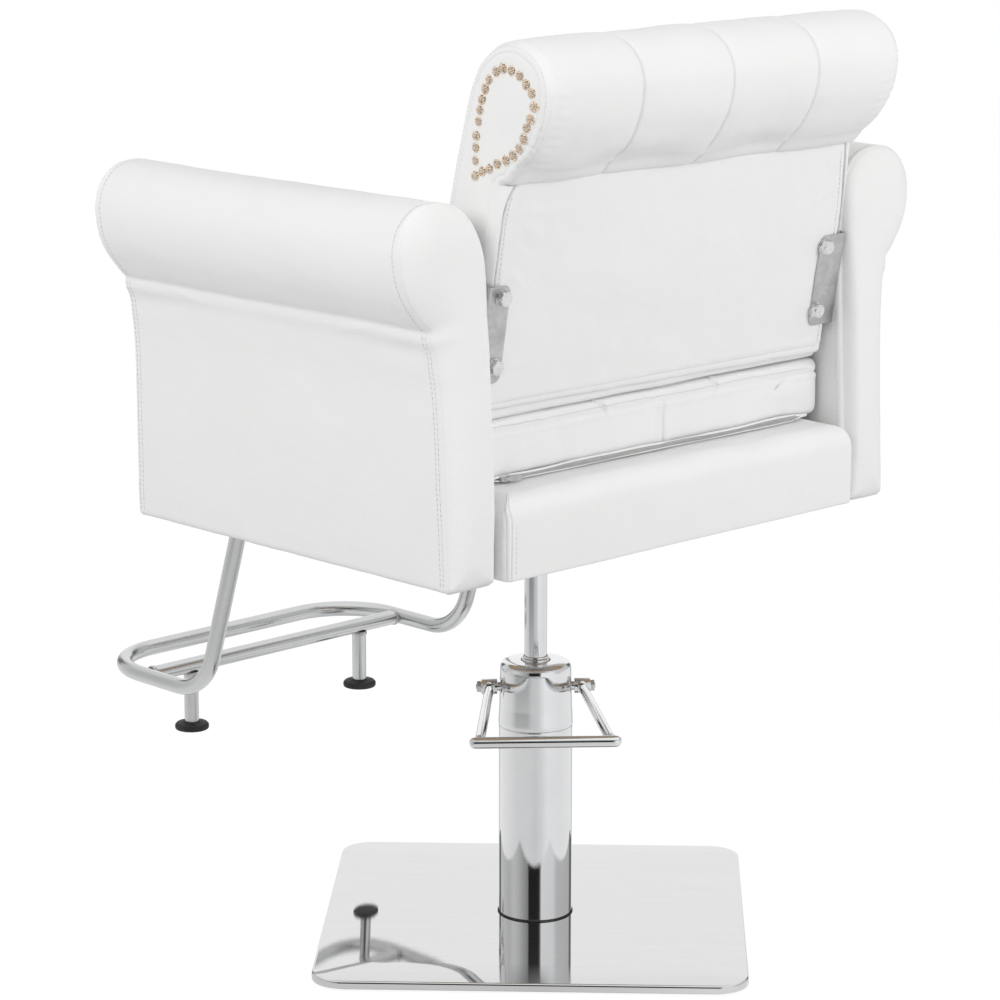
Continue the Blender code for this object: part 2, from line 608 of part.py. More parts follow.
def arm_outline():
    """The left arm's section in (x, z), from the inside bottom corner round."""
    points = [
        (ARM_IN_X, ARM_BOTTOM_Z + 0.004), (ARM_IN_X + 0.004, ARM_BOTTOM_Z),
        (ARM_OUT_X - 0.004, ARM_BOTTOM_Z), (ARM_OUT_X, ARM_BOTTOM_Z + 0.004),
        (ARM_OUT_X, 0.662), (0.3430, 0.692), (0.3480, 0.732), (0.3534, 0.757)]
    for i in range(12):
        a = math.radians(-38 + (205 + 38) * i / 11)
        points.append((ROLL_X + ROLL_RX * math.cos(a), ROLL_Z + ROLL_RZ * math.sin(a)))
    points.append((ARM_IN_X, 0.790))
    return points


def arm_section(inset):
    """The outline with its points moved towards the arm's middle line."""
    points = []
    for x, z in arm_outline():
        core_x = ARM_MID_X if z < 0.75 else ROLL_X
        core_z = min(max(z, ARM_BOTTOM_Z + 0.03), ROLL_Z)
        d = Vector((core_x - x, core_z - z))
        if d.length > inset:
            x, z = x + d.normalized().x * inset, z + d.normalized().y * inset
        points.append((x, z))
    return points


def side_block(sx, x0, x1, y0, y1, z0, z1):
    """A block between two distances from the middle, on the side given by sx."""
    low_x, high_x = sorted((sx * x0, sx * x1))
    return block(low_x, high_x, y0, y1, z0, z1)


def build_arm(side, sx, apron, seat_frame):
    rings = []
    for inset, dy in ARM_FRONT_RINGS:
        rings.append([(sx * x, ARM_FRONT_Y + dy, z) for x, z in arm_section(inset)])
    for inset, dy in ARM_REAR_RINGS:
        rings.append([(sx * x, ARM_REAR_Y + ARM_REAR_LEAN * (z - ARM_REAR_Z) + dy, z)
                      for x, z in arm_section(inset)])
    at = (sx * ARM_MID_X, 0, ARM_BOTTOM_Z)
    pad = body(f"arm_pad_{side}", loft(rings), LEATHER, seat, at=at)
    pocket = side_block(sx, CORE_IN_X - 0.0005, CORE_OUT_X + 0.0005,
                        -0.2625, 0.1805, 0.40, 0.8205)
    cut(pad, pocket, f"cut_arm_pocket_{side}")
    core = body(f"arm_frame_{side}",
                side_block(sx, CORE_IN_X, CORE_OUT_X,
                           -0.2620, 0.1800, ARM_BOTTOM_Z + 0.0005, 0.8200),
                PLY, seat, at=at, smooth=False)

    hole = mirrored(rod_profile(BOLT_HOLE_R, 0.20, ARM_BOLT_TIP_X + BOLT_END_GAP), sx)
    verts, faces = hexbolt(0, 0, -BOLT_HEAD_DROP, -GAP, ARM_BOLT_TIP_X - FRAME_IN_X,
                           BOLT_FLATS, BOLT_R)
    for end, y in ARM_BOLTS:
        cutter = cut(pad, turned(hole, 12, (y, ARM_BOLT_Z), axis="X"),
                     f"cut_arm_bolt_{end}_{side}")
        for ob in (core, apron, seat_frame):
            share_cut(ob, cutter)
        placed = [(sx * (FRAME_IN_X + v[2]), y + v[0], ARM_BOLT_Z + v[1]) for v in verts]
        body(f"arm_bolt_{end}_{side}", (placed, faces), ZINC, seat,
             at=(sx * FRAME_IN_X, y, ARM_BOLT_Z))


# ---------------------------------------------------------------- back
BACK_HALF_W = 0.2700
BACK_LEAN = math.atan(0.171)        # recline of the outside back
BACK_SIN, BACK_COS = math.sin(BACK_LEAN), math.cos(BACK_LEAN)
BACK_Y, BACK_Z = 0.2083, 0.7808     # a point on the outside back's surface
BACK_ORIGIN = (0, BACK_Y, BACK_Z)


def up_back(z):
    """Distance up the outside back from its reference point, for a height z."""
    return (z - BACK_Z) / BACK_COS


def on_back(x, depth, up):
    """A point at depth from the outside back's plane (negative is inside) and up along it."""
    return (x, BACK_Y + depth * BACK_COS + up * BACK_SIN,
            BACK_Z - depth * BACK_SIN + up * BACK_COS)


def back_block(half_w, depth0, depth1, up0, up1):
    corners = ((depth0, up0), (depth1, up0), (depth1, up1), (depth0, up1))
    return loft([[on_back(x, depth, up) for depth, up in corners] for x in (-half_w, half_w)])


PANEL_HALF_W, PANEL_T = 0.2640, 0.0060
PANEL_LOW_R, PANEL_TOP_R = 0.008, 0.022
PANEL_LOW, PANEL_TOP = up_back(0.6600), up_back(0.8990)
PAD_REAR_DEPTH = -(PANEL_T + 0.0004)
BOARD_HALF_W, BOARD_T = 0.2640, 0.0150

# (y, z) of the pad, from the front bottom corner up the front and over the roll to its rear
FOAM = [
    (0.0960, 0.6600), (0.1040, 0.7000), (0.1180, 0.7700), (0.1330, 0.8400), (0.1440, 0.8850),
    (0.1560, 0.9300), (0.1665, 0.9710), (0.1760, 0.9980), (0.1900, 1.0220), (0.2110, 1.0390),
    (0.2380, 1.0440), (0.2640, 1.0370), (0.2815, 1.0230), (0.2905, 1.0030), (0.2910, 0.9840),
    (0.2870, 0.9650), (0.2790, 0.9480), (0.2655, 0.9290), (0.2440, 0.9120)]
BACK_SECTION = FOAM + [on_back(0, PAD_REAR_DEPTH, PANEL_TOP + 0.0020)[1:],
                       on_back(0, PAD_REAR_DEPTH, PANEL_LOW - 0.0080)[1:]]
# (inset, depth) of the panel's outline, from inside to outside
PANEL_RINGS = [(0.0005, -PANEL_T), (0.0, -PANEL_T + 0.0008), (0.0, -0.0034),
               (0.0022, -0.0010), (0.006, 0.0)]


def back_ring(x, inset):
    """The back's section at x, with its points moved inwards."""
    ring = []
    for y, z in BACK_SECTION:
        if z > 0.905:
            centre = Vector((0.2330, 0.9750))
        else:
            centre = Vector((min(max(y, 0.15), 0.17) + (z - 0.80) * 0.2,
                             min(max(z, 0.70), 0.95)))
        point = Vector((y, z))
        d = centre - point
        if inset and d.length > inset:
            point = point + d.normalized() * inset
        ring.append((x, point.x, point.y))
    return ring


def panel_ring(inset, depth):
    points = []
    for sx, su, edge, corner_r, start in (
            (1, 1, PANEL_TOP, PANEL_TOP_R, 0), (-1, 1, PANEL_TOP, PANEL_TOP_R, 90),
            (-1, -1, PANEL_LOW, PANEL_LOW_R, 180), (1, -1, PANEL_LOW, PANEL_LOW_R, 270)):
        r = corner_r - inset
        x = sx * (PANEL_HALF_W - inset - r)
        up = edge - su * (inset + r)
        for i in range(5):
            a = math.radians(start + 90 * i / 4)
            points.append(on_back(x + r * math.cos(a), depth, up + r * math.sin(a)))
    return points


def build_back():
    """Pad, board and outside panel. Returns those the bracket bolts pass through."""
    stations = ((-BACK_HALF_W, 0.005), (-BACK_HALF_W + 0.006, 0.0),
                (BACK_HALF_W - 0.006, 0.0), (BACK_HALF_W, 0.005))
    pad = body("back_pad", loft([back_ring(x, inset) for x, inset in stations]),
               LEATHER, seat, at=BACK_ORIGIN)
    pocket = back_block(BOARD_HALF_W + 0.0005, PAD_REAR_DEPTH - BOARD_T - 0.0008, 0.05,
                        PANEL_LOW + 0.008, PANEL_TOP - 0.012)
    cut(pad, pocket, "cut_back_pocket")
    board = body("back_board",
                 back_block(BOARD_HALF_W, PAD_REAR_DEPTH - BOARD_T - GAP, PAD_REAR_DEPTH - GAP,
                            PANEL_LOW + 0.0085, PANEL_TOP - 0.0125),
                 PLY, seat, at=BACK_ORIGIN, smooth=False)
    panel = body("back_panel", loft([panel_ring(*station) for station in PANEL_RINGS]),
                 LEATHER, seat, at=BACK_ORIGIN)
    return panel, board, pad


# ---------------------------------------------------------------- back brackets
BRACKET_T = 0.0022
BRACKET_OUT_X = 0.2742
BRACKET_IN_X = {"left": 0.2445, "right": 0.2330}    # the brackets are not mounted quite alike
BRACKET_BOLT_X = {"left": 0.2565, "right": 0.2390}
BRACKET_LOW, BRACKET_TOP = up_back(0.6916), up_back(0.7946)
BRACKET_BOLTS = (("low", up_back(0.7081)), ("high", up_back(0.7808)))
BRACKET_D0 = 0.0004
BRACKET_D1 = BRACKET_D0 + BRACKET_T
BRACKET_WRAP_D = -0.060             # how far the bracket reaches along the back's side


def build_bracket(side, sx, back_parts):
    """An L-shaped bracket round a rear corner of the back, with its two bolts."""
    in_x, bolt_x = BRACKET_IN_X[side], sx * BRACKET_BOLT_X[side]
    wall_x = BRACKET_OUT_X - BRACKET_T
    section = [(in_x, BRACKET_D0), (wall_x, BRACKET_D0), (wall_x, BRACKET_WRAP_D),
               (BRACKET_OUT_X, BRACKET_WRAP_D), (BRACKET_OUT_X, BRACKET_D1), (in_x, BRACKET_D1)]
    bracket = body(f"back_bracket_{side}",
                   loft([[on_back(sx * x, depth, up) for x, depth in section]
                         for up in (BRACKET_LOW, BRACKET_TOP)]),
                   ZINC, seat, at=(sx * BRACKET_OUT_X, BACK_Y, BACK_Z), smooth=False)
    verts, faces = hexbolt(0, 0, -0.0070, 0, 0.0310, across_flats=0.0150, shank_r=0.0032)
    for end, up in BRACKET_BOLTS:
        path = [Vector(on_back(bolt_x, depth, up)) for depth in (-0.0300, 0.02)]
        cutter = cut(bracket, swept(path, 0.0036), f"cut_bracket_{end}_{side}")
        for ob in back_parts:
            share_cut(ob, cutter)
        placed = [on_back(bolt_x + v[0], BRACKET_D1 + GAP - v[2], up + v[1]) for v in verts]
        body(f"bracket_bolt_{end}_{side}", (placed, faces), ZINC, seat,
             at=on_back(bolt_x, BRACKET_D1, up))


# ---------------------------------------------------------------- nail trim on the roll's ends
# (y, z) of the nail line's turning points, from the front bottom corner up and over
TRIM = [
    (0.1883, 0.9110), (0.1904, 0.9468), (0.1978, 0.9835), (0.2087, 1.0033),
    (0.2289, 1.0167), (0.2516, 1.0100), (0.2700, 0.9941), (0.2736, 0.9816),
    (0.2687, 0.9694), (0.2502, 0.9381), (0.2316, 0.9245), (0.2085, 0.9153)]
NAILS, RINGS_PER_NAIL = 25, 3
NAIL_R, NAIL_RISE, NAIL_RIM = 0.0054, 0.0027, 0.0006
NAIL_NECK = 0.42                    # size between two nails, as a share of a nail's
TRIM_X = BACK_HALF_W + 0.0004


def trim_rings():
    """The left trim's sections, one strip of touching domes round the nail line."""
    loop = smooth_loop([(0, y, z) for y, z in TRIM], 12)
    lengths = [0.0]
    for i in range(len(loop)):
        lengths.append(lengths[-1] + (loop[(i + 1) % len(loop)] - loop[i]).length)

    def along(s):
        s = s % lengths[-1]
        for i in range(len(loop)):
            if lengths[i + 1] >= s:
                t = (s - lengths[i]) / max(lengths[i + 1] - lengths[i], 1e-9)
                return loop[i].lerp(loop[(i + 1) % len(loop)], t)

    rings = []
    steps = NAILS * RINGS_PER_NAIL
    for i in range(steps):
        p = along(lengths[-1] * i / steps)
        tangent = (along(lengths[-1] * (i + 0.5) / steps)
                   - along(lengths[-1] * (i - 0.5) / steps)).normalized()
        across = Vector((1, 0, 0)).cross(tangent)
        phase = (i % RINGS_PER_NAIL) / RINGS_PER_NAIL
        size = NAIL_NECK + (1 - NAIL_NECK) * math.sqrt(1 - (2 * phase - 1) ** 2)
        r = NAIL_R * size
        ring = []
        for degrees in (0, 60, 120, 180):
            a = math.radians(degrees)
            q = p + across * (r * math.cos(a))
            ring.append((TRIM_X + NAIL_RIM + NAIL_RISE * size * math.sin(a), q.y, q.z))
        for q in (p - across * r, p + across * r):
            ring.append((TRIM_X, q.y, q.z))
        rings.append(ring)
    return rings


def build_nail_trim():
    rings = trim_rings()
    for side, sx in SIDES:
        placed = [[(sx * x, y, z) for x, y, z in ring] for ring in rings]
        body(f"nail_trim_{side}", sleeve(placed), NAIL, seat, at=(sx * TRIM_X, 0.2330, 0.9650))


# ---------------------------------------------------------------- footrest
FOOT_R, FOOT_WALL = 0.0095, 0.0015
FOOT_SIDE_X, FOOT_FRONT_Y = 0.2030, -0.5530
FOOT_TOP_Z = SEAT_BOTTOM_Z - 0.0004 - FOOT_R    # runs under the seat
FOOT_RAIL_Z = 0.2390                            # the low rail
FOOT_TOP_Y = -0.2668
FOOT_LOW_Y = FOOT_TOP_Y - (FOOT_TOP_Z - FOOT_RAIL_Z) * math.tan(math.radians(18.0))
FOOT_BOLT_Y = -0.0850
CROSSBAR_Y, CROSSBAR_R = -0.4558, FOOT_R - 0.0003
CROSSBAR_HALF = FOOT_SIDE_X - 0.0030
LEG_X, LEG_R = 0.1353, 0.0088
GLIDE_Z0, GLIDE_Z1, GLIDE_R = 0.1600, 0.1695, 0.0205

# (y, z, bend radius) of one side's corners, from the open rear end to the front
FOOT_CORNERS = [(-0.0600, FOOT_TOP_Z, 0), (FOOT_TOP_Y, FOOT_TOP_Z, 0.040),
                (FOOT_LOW_Y, FOOT_RAIL_Z, 0.070), (FOOT_FRONT_Y, FOOT_RAIL_Z, 0.084)]
# (radius, z)
GLIDE = [(0, GLIDE_Z0), (GLIDE_R - 0.001, GLIDE_Z0), (GLIDE_R, GLIDE_Z0 + 0.0015),
         (GLIDE_R, GLIDE_Z1 - 0.0035), (GLIDE_R - 0.004, GLIDE_Z1 - GAP), (0, GLIDE_Z1 - GAP)]


def footrest_path():
    left = [((FOOT_SIDE_X, y, z), r) for y, z, r in FOOT_CORNERS]
    right = [((-FOOT_SIDE_X, y, z), r) for y, z, r in reversed(FOOT_CORNERS)]
    return bent_path(left + right, 4)


def build_footrest_tube(path, seat_frame):
    tube = body("footrest_tube", swept(path, FOOT_R, bore=FOOT_R - FOOT_WALL), CHROME, seat)
    under_z = FOOT_TOP_Z - FOOT_R
    for side, sx in SIDES:
        x = sx * FOOT_SIDE_X
        hole = turned(rod_profile(0.0036, 0.45, SEAT_HOLE_TOP_Z), 10, (x, FOOT_BOLT_Y))
        share_cut(seat_frame, cut(tube, hole, f"cut_footrest_bolt_{side}"))
        bolt = hexbolt(x, FOOT_BOLT_Y, under_z - BOLT_HEAD_DROP, under_z - GAP, SEAT_BOLT_TIP_Z,
                       across_flats=0.0100, shank_r=0.0032)
        body(f"footrest_bolt_{side}", bolt, ZINC, seat, at=(x, FOOT_BOLT_Y, FOOT_TOP_Z))


def build_crossbar(path):
    """The crossbar, its ends trimmed to the side tubes, with two legs on glides."""
    ends = [Vector((x, CROSSBAR_Y, FOOT_RAIL_Z)) for x in (-CROSSBAR_HALF, CROSSBAR_HALF)]
    cross = body("footrest_crossbar", swept(ends, CROSSBAR_R), CHROME, seat)
    cut(cross, swept(path, FOOT_R + 0.0003), "cut_crossbar_saddle")
    for side, sx in SIDES:
        centre = (sx * LEG_X, CROSSBAR_Y)
        leg = turned(rod_profile(LEG_R, GLIDE_Z1 + 0.0002, FOOT_RAIL_Z), 12, centre)
        weld(cross, body(f"leg_core_{side}", leg, CHROME, seat), f"weld_{side}")
        body(f"footrest_glide_{side}", turned(GLIDE, 20, centre), RUBBER, seat,
             at=(*centre, GLIDE_Z0))


# ---------------------------------------------------------------- build
def build_chair():
    """Pieces that share cutters are built in the order their cuts are applied."""
    build_pump(build_base())
    build_plunger()
    build_pedal_bar()
    build_pedal_hubs()
    build_rocker_yoke()
    build_piston()
    seat_frame = build_seat_frame()
    build_seat_mount(seat_frame)
    apron = build_apron()
    build_cushion()
    build_zipper()
    for side, sx in SIDES:
        build_arm(side, sx, apron, seat_frame)
    back_parts = build_back()
    for side, sx in SIDES:
        build_bracket(side, sx, back_parts)
    build_nail_trim()
    path = footrest_path()
    build_footrest_tube(path, seat_frame)
    build_crossbar(path)


build_chair()
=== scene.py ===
"""A salon styling chair: covers, metalwork and studio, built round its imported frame.

Metres, +Z up. The seat faces -Y and the sitter's left is +X.
"""

import json
from math import acos, atan, atan2, ceil, cos, exp, hypot, pi, radians, sin, sqrt, tan

import bmesh
import bpy
import numpy as np
from mathutils import Matrix, Vector
from mathutils.bvhtree import BVHTree
from mathutils.geometry import delaunay_2d_cdt


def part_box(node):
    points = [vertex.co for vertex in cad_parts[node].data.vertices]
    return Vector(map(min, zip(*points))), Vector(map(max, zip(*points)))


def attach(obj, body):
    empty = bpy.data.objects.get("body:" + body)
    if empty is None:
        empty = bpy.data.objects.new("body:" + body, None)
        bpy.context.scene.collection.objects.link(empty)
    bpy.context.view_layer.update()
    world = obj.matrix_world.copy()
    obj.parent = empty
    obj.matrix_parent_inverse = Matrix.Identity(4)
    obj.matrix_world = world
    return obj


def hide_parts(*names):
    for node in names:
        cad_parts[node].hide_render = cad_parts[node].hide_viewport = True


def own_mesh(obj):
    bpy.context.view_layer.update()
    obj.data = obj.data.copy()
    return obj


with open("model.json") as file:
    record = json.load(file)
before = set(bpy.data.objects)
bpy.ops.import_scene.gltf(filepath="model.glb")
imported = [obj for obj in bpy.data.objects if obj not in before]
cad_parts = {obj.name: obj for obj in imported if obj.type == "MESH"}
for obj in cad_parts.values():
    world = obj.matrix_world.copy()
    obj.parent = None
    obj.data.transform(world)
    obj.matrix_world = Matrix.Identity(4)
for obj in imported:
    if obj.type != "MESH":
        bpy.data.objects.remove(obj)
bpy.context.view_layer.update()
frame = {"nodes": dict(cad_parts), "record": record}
NODES = frame["nodes"]
SCENE = bpy.context.scene
SIDES = (("left", 1), ("right", -1))


def box(node):
    """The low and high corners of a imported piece."""
    return [np.array(corner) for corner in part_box(node)]


# ------------------------------------------------------------------ shader nodes
class Nodes:
    """Short calls for building a node tree."""

    def __init__(self, tree):
        self.tree = tree

    def node(self, kind, **values):
        """A new node; each value goes to the input of that name, or else to a property."""
        node = self.tree.nodes.new("ShaderNode" + kind)
        for key, value in values.items():
            if key in node.inputs.keys():
                self.put(node.inputs[key], value)
            else:
                setattr(node, key, value)
        return node

    def out(self, kind, **values):
        return self.node(kind, **values).outputs[0]

    def put(self, socket, value):
        if isinstance(value, bpy.types.NodeSocket):
            self.tree.links.new(value, socket)
        elif isinstance(value, tuple) and len(value) == 3 and socket.type == "RGBA":
            socket.default_value = (*value, 1.0)
        else:
            socket.default_value = value

    def put_all(self, node, values, places):
        for place, value in zip(places, values):
            self.put(node.inputs[place], value)

    def ramp(self, value, stops):
        """A colour ramp; stops are (place, grey or colour)."""
        node = self.node("ValToRGB")
        elements = node.color_ramp.elements
        while len(elements) < len(stops):
            elements.new(0.5)
        for element, (place, tone) in zip(elements, stops):
            element.position = place
            element.color = (*tone, 1.0) if isinstance(tone, tuple) else (tone, tone, tone, 1.0)
        self.put(node.inputs[0], value)
        return node.outputs[0]

    def math(self, operation, first, second=0.0, third=0.0):
        node = self.node("Math", operation=operation)
        self.put_all(node, (first, second, third), range(3))
        return node.outputs[0]

    def add(self, first, second, shares):
        """The sum of two values, each times its share; a share of 1 needs no node."""
        pair = [value if share == 1 else self.math("MULTIPLY", value, share)
                for value, share in zip((first, second), shares)]
        return self.math("ADD", *pair)

    def mix(self, factor, first, second):
        node = self.node("Mix", data_type="RGBA")
        self.put_all(node, (factor, first, second), (0, 6, 7))
        return node.outputs[2]

    def mix_shader(self, factor, first, second):
        node = self.node("MixShader")
        self.put_all(node, (factor, first, second), range(3))
        return node.outputs[0]

    def fit(self, value, span, to=(0, 1)):
        """The value mapped linearly from one span to another."""
        node = self.node("MapRange")
        self.put_all(node, (value, *span, *to), range(5))
        return node.outputs[0]


class Look(Nodes):
    """A surface material in object coordinates."""

    def __init__(self, name):
        self.mat = bpy.data.materials.new(name)
        self.mat.use_nodes = True
        super().__init__(self.mat.node_tree)
        self.coord = self.node("TexCoord").outputs["Object"]

    def finish(self, **values):
        surface = self.tree.nodes["Principled BSDF"]
        for key, value in values.items():
            self.put(surface.inputs[key.replace("_", " ")], value)
        return self.mat

    def stretch(self, scale, vector=None):
        return self.out("Mapping", Vector=vector or self.coord, Scale=scale)

    def noise(self, scale, detail, rough, vector=None, distortion=0):
        return self.out("TexNoise", Vector=vector or self.coord, Scale=scale, Detail=detail,
                        Roughness=rough, Distortion=distortion)

    def voronoi(self, scale, feature="F1", output="Distance"):
        node = self.node("TexVoronoi", feature=feature, Vector=self.coord, Scale=scale)
        return node.outputs[output]

    def bump(self, height, distance, strength, after=None):
        node = self.node("Bump", Height=height, Distance=distance, Strength=strength)
        if after is not None:
            self.put(node.inputs["Normal"], after)
        return node.outputs[0]


# ------------------------------------------------------------------ materials
def leather():
    """White leather: pebbled cells and pores over a slow crinkle."""
    look = Look("white_leather")
    cloud = look.noise(scale=7, detail=3, rough=0.6)
    cells = look.voronoi(scale=820, feature="SMOOTH_F1")
    pores = look.voronoi(scale=1500)
    fine = look.noise(scale=2600, detail=2, rough=0.6)
    crinkle = look.noise(scale=95, detail=5, rough=0.62, distortion=0.6)
    tone = look.mix(look.fit(cloud, (0.35, 0.65)), (0.860, 0.860, 0.858), (0.848, 0.848, 0.845))
    tone = look.mix(look.fit(cells, (0.25, 0.75), to=(0, 0.1)), tone, (0.70, 0.695, 0.685))
    rough = look.fit(look.add(crinkle, fine, shares=(1, 0.4)), (0.45, 0.95), to=(0.40, 0.54))
    relief = look.bump(crinkle, distance=0.0006, strength=0.35)
    relief = look.bump(cells, distance=0.00022, strength=0.55, after=relief)
    relief = look.bump(pores, distance=0.00008, strength=0.5, after=relief)
    return look.finish(Base_Color=tone, Roughness=rough, IOR=1.46, Specular_IOR_Level=0.42,
                       Normal=relief)


def thread():
    look = Look("sewing_thread")
    ply = look.out("TexWave", Vector=look.coord, Scale=900, Distortion=2, Detail=1)
    return look.finish(Base_Color=look.mix(ply, (0.86, 0.86, 0.85), (0.66, 0.66, 0.65)),
                       Roughness=0.62, Normal=look.bump(ply, distance=0.0002, strength=0.6))


def chrome(name, base, rough, grain=0.00005):
    """Plated metal; rough is its span of roughness, grain the height of its fine bumps."""
    look = Look(name)
    smudge = look.noise(scale=28, detail=4, rough=0.6)
    grit = look.noise(scale=900, detail=2, rough=0.5)
    dull = tuple(channel * 0.90 for channel in base)
    wave = look.bump(look.noise(scale=16, detail=2, rough=0.5), distance=0.0003, strength=0.25)
    return look.finish(
        Metallic=1.0,
        Base_Color=look.mix(look.fit(smudge, (0.4, 0.7), to=(0, 0.35)), base, dull),
        Roughness=look.fit(look.add(smudge, grit, shares=(0.6, 0.4)), (0.35, 0.7), to=rough),
        Normal=look.bump(grit, distance=grain, strength=0.4, after=wave))


def brushed_plate():
    """The base's thin polished sheet: fine straight brushing over a near mirror."""
    look = Look("brushed_mirror_sheet")
    turned = look.out("Mapping", Vector=look.coord, Rotation=(0, 0, radians(PLATE_TURN)))
    lines = look.noise(scale=1, detail=4, rough=0.65,
                       vector=look.stretch((18, 1500, 1500), turned))
    broad = look.noise(scale=1, detail=3, rough=0.6, vector=look.stretch((5, 210, 210), turned))
    smudge = look.noise(scale=9, detail=4, rough=0.6)
    both = look.add(lines, broad, shares=(0.6, 0.4))
    wave = look.bump(look.noise(scale=4.5, detail=2, rough=0.5), distance=0.0007, strength=0.16)
    return look.finish(
        Metallic=1.0,
        Base_Color=look.ramp(both, [(0.30, 0.70), (0.5, 0.735), (0.72, 0.77)]),
        Roughness=look.fit(look.add(both, smudge, shares=(1, 0.35)), (0.5, 0.95),
                           to=(0.012, 0.05)),
        Normal=look.bump(lines, distance=0.000012, strength=0.30, after=wave))


def galvanised(name, base):
    look = Look(name)
    spangle = look.out("RGBToBW", Color=look.voronoi(scale=210, output="Color"))
    cloud = look.noise(scale=48, detail=4, rough=0.62)
    rub = look.noise(scale=600, detail=2, rough=0.5, vector=look.stretch((1, 1, 0.12)))
    tone = look.add(spangle, cloud, shares=(0.16, 0.84))
    scratch = look.bump(rub, distance=0.0001, strength=0.4)
    return look.finish(
        Metallic=1.0,
        Base_Color=look.ramp(tone, [(0.28, base * 0.80), (0.48, base), (0.70, base * 1.20)]),
        Roughness=look.fit(look.add(tone, rub, shares=(1, 0.25)), (0.3, 0.9), to=(0.26, 0.52)),
        Normal=look.bump(tone, distance=0.00025, strength=0.5, after=scratch))


def steel(name, base, rough):
    """Machined metal with fine tool marks."""
    look = Look(name)
    marks = look.noise(scale=700, detail=3, rough=0.6, vector=look.stretch((0.25, 0.25, 1)))
    cloud = look.noise(scale=30, detail=4, rough=0.6)
    tone = look.add(marks, cloud, shares=(0.4, 0.6))
    return look.finish(
        Metallic=1.0,
        Base_Color=look.ramp(tone, [(0.3, base * 0.75), (0.6, base), (0.8, base * 1.2)]),
        Roughness=look.fit(marks, (0.3, 0.7), to=rough),
        Normal=look.bump(marks, distance=0.00006, strength=0.4))


def rubber():
    look = Look("black_rubber")
    grain = look.noise(scale=1100, detail=3, rough=0.6)
    dust = look.fit(look.noise(scale=35, detail=4, rough=0.65), (0.45, 0.75))
    return look.finish(Base_Color=look.mix(dust, (0.012, 0.012, 0.013), (0.040, 0.040, 0.041)),
                       Roughness=look.fit(grain, (0.3, 0.7), to=(0.48, 0.70)),
                       Normal=look.bump(grain, distance=0.0001, strength=0.5))


def plywood():
    look = Look("plywood")
    rings = look.out("TexWave", wave_type="RINGS", Vector=look.stretch((2.0, 0.4, 1.6)),
                     Scale=9, Distortion=7, Detail=3)
    pores = look.noise(scale=240, detail=3, rough=0.6, vector=look.stretch((3, 0.25, 3)))
    tone = look.add(rings, pores, shares=(0.6, 0.4))
    shades = [(0.2, (0.40, 0.27, 0.15)), (0.5, (0.56, 0.40, 0.25)), (0.8, (0.68, 0.52, 0.35))]
    return look.finish(Base_Color=look.ramp(tone, shades),
                       Roughness=look.fit(pores, (0.3, 0.7), to=(0.6, 0.8)),
                       Normal=look.bump(tone, distance=0.0003, strength=0.4))


def antique():
    """Rose gold, darkened in its hollows."""
    look = Look("antique_rose_gold")
    fleck = look.noise(scale=260, detail=3, rough=0.55)
    cloud = look.noise(scale=120, detail=3, rough=0.6)
    tone = look.add(fleck, cloud, shares=(0.55, 0.45))
    hollow = look.fit(look.node("NewGeometry").outputs["Pointiness"], (0.42, 0.485))
    gold = look.ramp(tone, [(0.26, (0.80, 0.56, 0.40)), (0.42, (0.98, 0.77, 0.59)),
                            (0.62, (1.0, 0.90, 0.77))])
    return look.finish(Metallic=1.0, Base_Color=look.mix(hollow, (0.34, 0.20, 0.11), gold),
                       Roughness=look.fit(tone, (0.3, 0.7), to=(0.34, 0.14)),
                       Normal=look.bump(fleck, distance=0.0001, strength=0.3))


def woven_tape():
    look = Look("woven_zip_tape")
    weave = look.math("MULTIPLY", *[
        look.out("TexWave", Vector=look.coord, Scale=380, bands_direction=way) for way in "XZ"])
    # The weave's light and dark threads are real, but both greys are set low as painted shade
    # for the tape's place deep in the zip's narrow gap.
    return look.finish(Base_Color=look.mix(weave, (0.40, 0.40, 0.395), (0.58, 0.58, 0.575)),
                       Roughness=0.85, Normal=look.bump(weave, distance=0.0002, strength=0.7))


PLATE_TURN = 46.0    # degrees between the base plate's sides and the axes

LEATHER = leather()
THREAD = thread()
CHROME = chrome("chrome", base=(0.80, 0.81, 0.82), rough=(0.035, 0.085))
TUBE_CHROME = chrome("pump_chrome", base=(0.83, 0.835, 0.845), rough=(0.02, 0.05))
SATIN = chrome("satin_tube", base=(0.66, 0.665, 0.67), rough=(0.16, 0.28), grain=0.00004)
PLATE = brushed_plate()
ZINC = galvanised("zinc_plate", base=0.66)
GALV = galvanised("galvanised_strip", base=0.56)
STEEL = steel("machined_steel", base=0.42, rough=(0.28, 0.46))
RUBBER = rubber()
PLY = plywood()
NAIL = antique()
BRIGHT_ZINC = steel("bright_zinc", base=0.88, rough=(0.16, 0.30))
TAPE = woven_tape()
BY_SLOT = {"brushed_stainless": PLATE, "chrome": CHROME, "mild_steel": STEEL,
           "zinc_plated": ZINC, "black_rubber": RUBBER, "plywood": PLY,
           "upholstery": LEATHER, "antique_nails": NAIL, "zipper_tape": TAPE}
for part in frame["record"]["subparts"]:
    slots = NODES[part["node"]].data.materials
    slots.clear()
    slots.append(BY_SLOT[part["material_slot"]])


# ------------------------------------------------------------------ meshes and objects
# A shape is a pair: points, and faces as tuples of point numbers.
def merge(shapes):
    points, faces, base = [], [], 0
    for some, polys in shapes:
        points.append(np.asarray(some, float).reshape(-1, 3))
        faces += [tuple(int(i) + base for i in poly) for poly in polys]
        base += len(points[-1])
    return np.concatenate(points), faces


def add_object(name, data):
    ob = bpy.data.objects.new(name, data)
    SCENE.collection.objects.link(ob)
    return ob


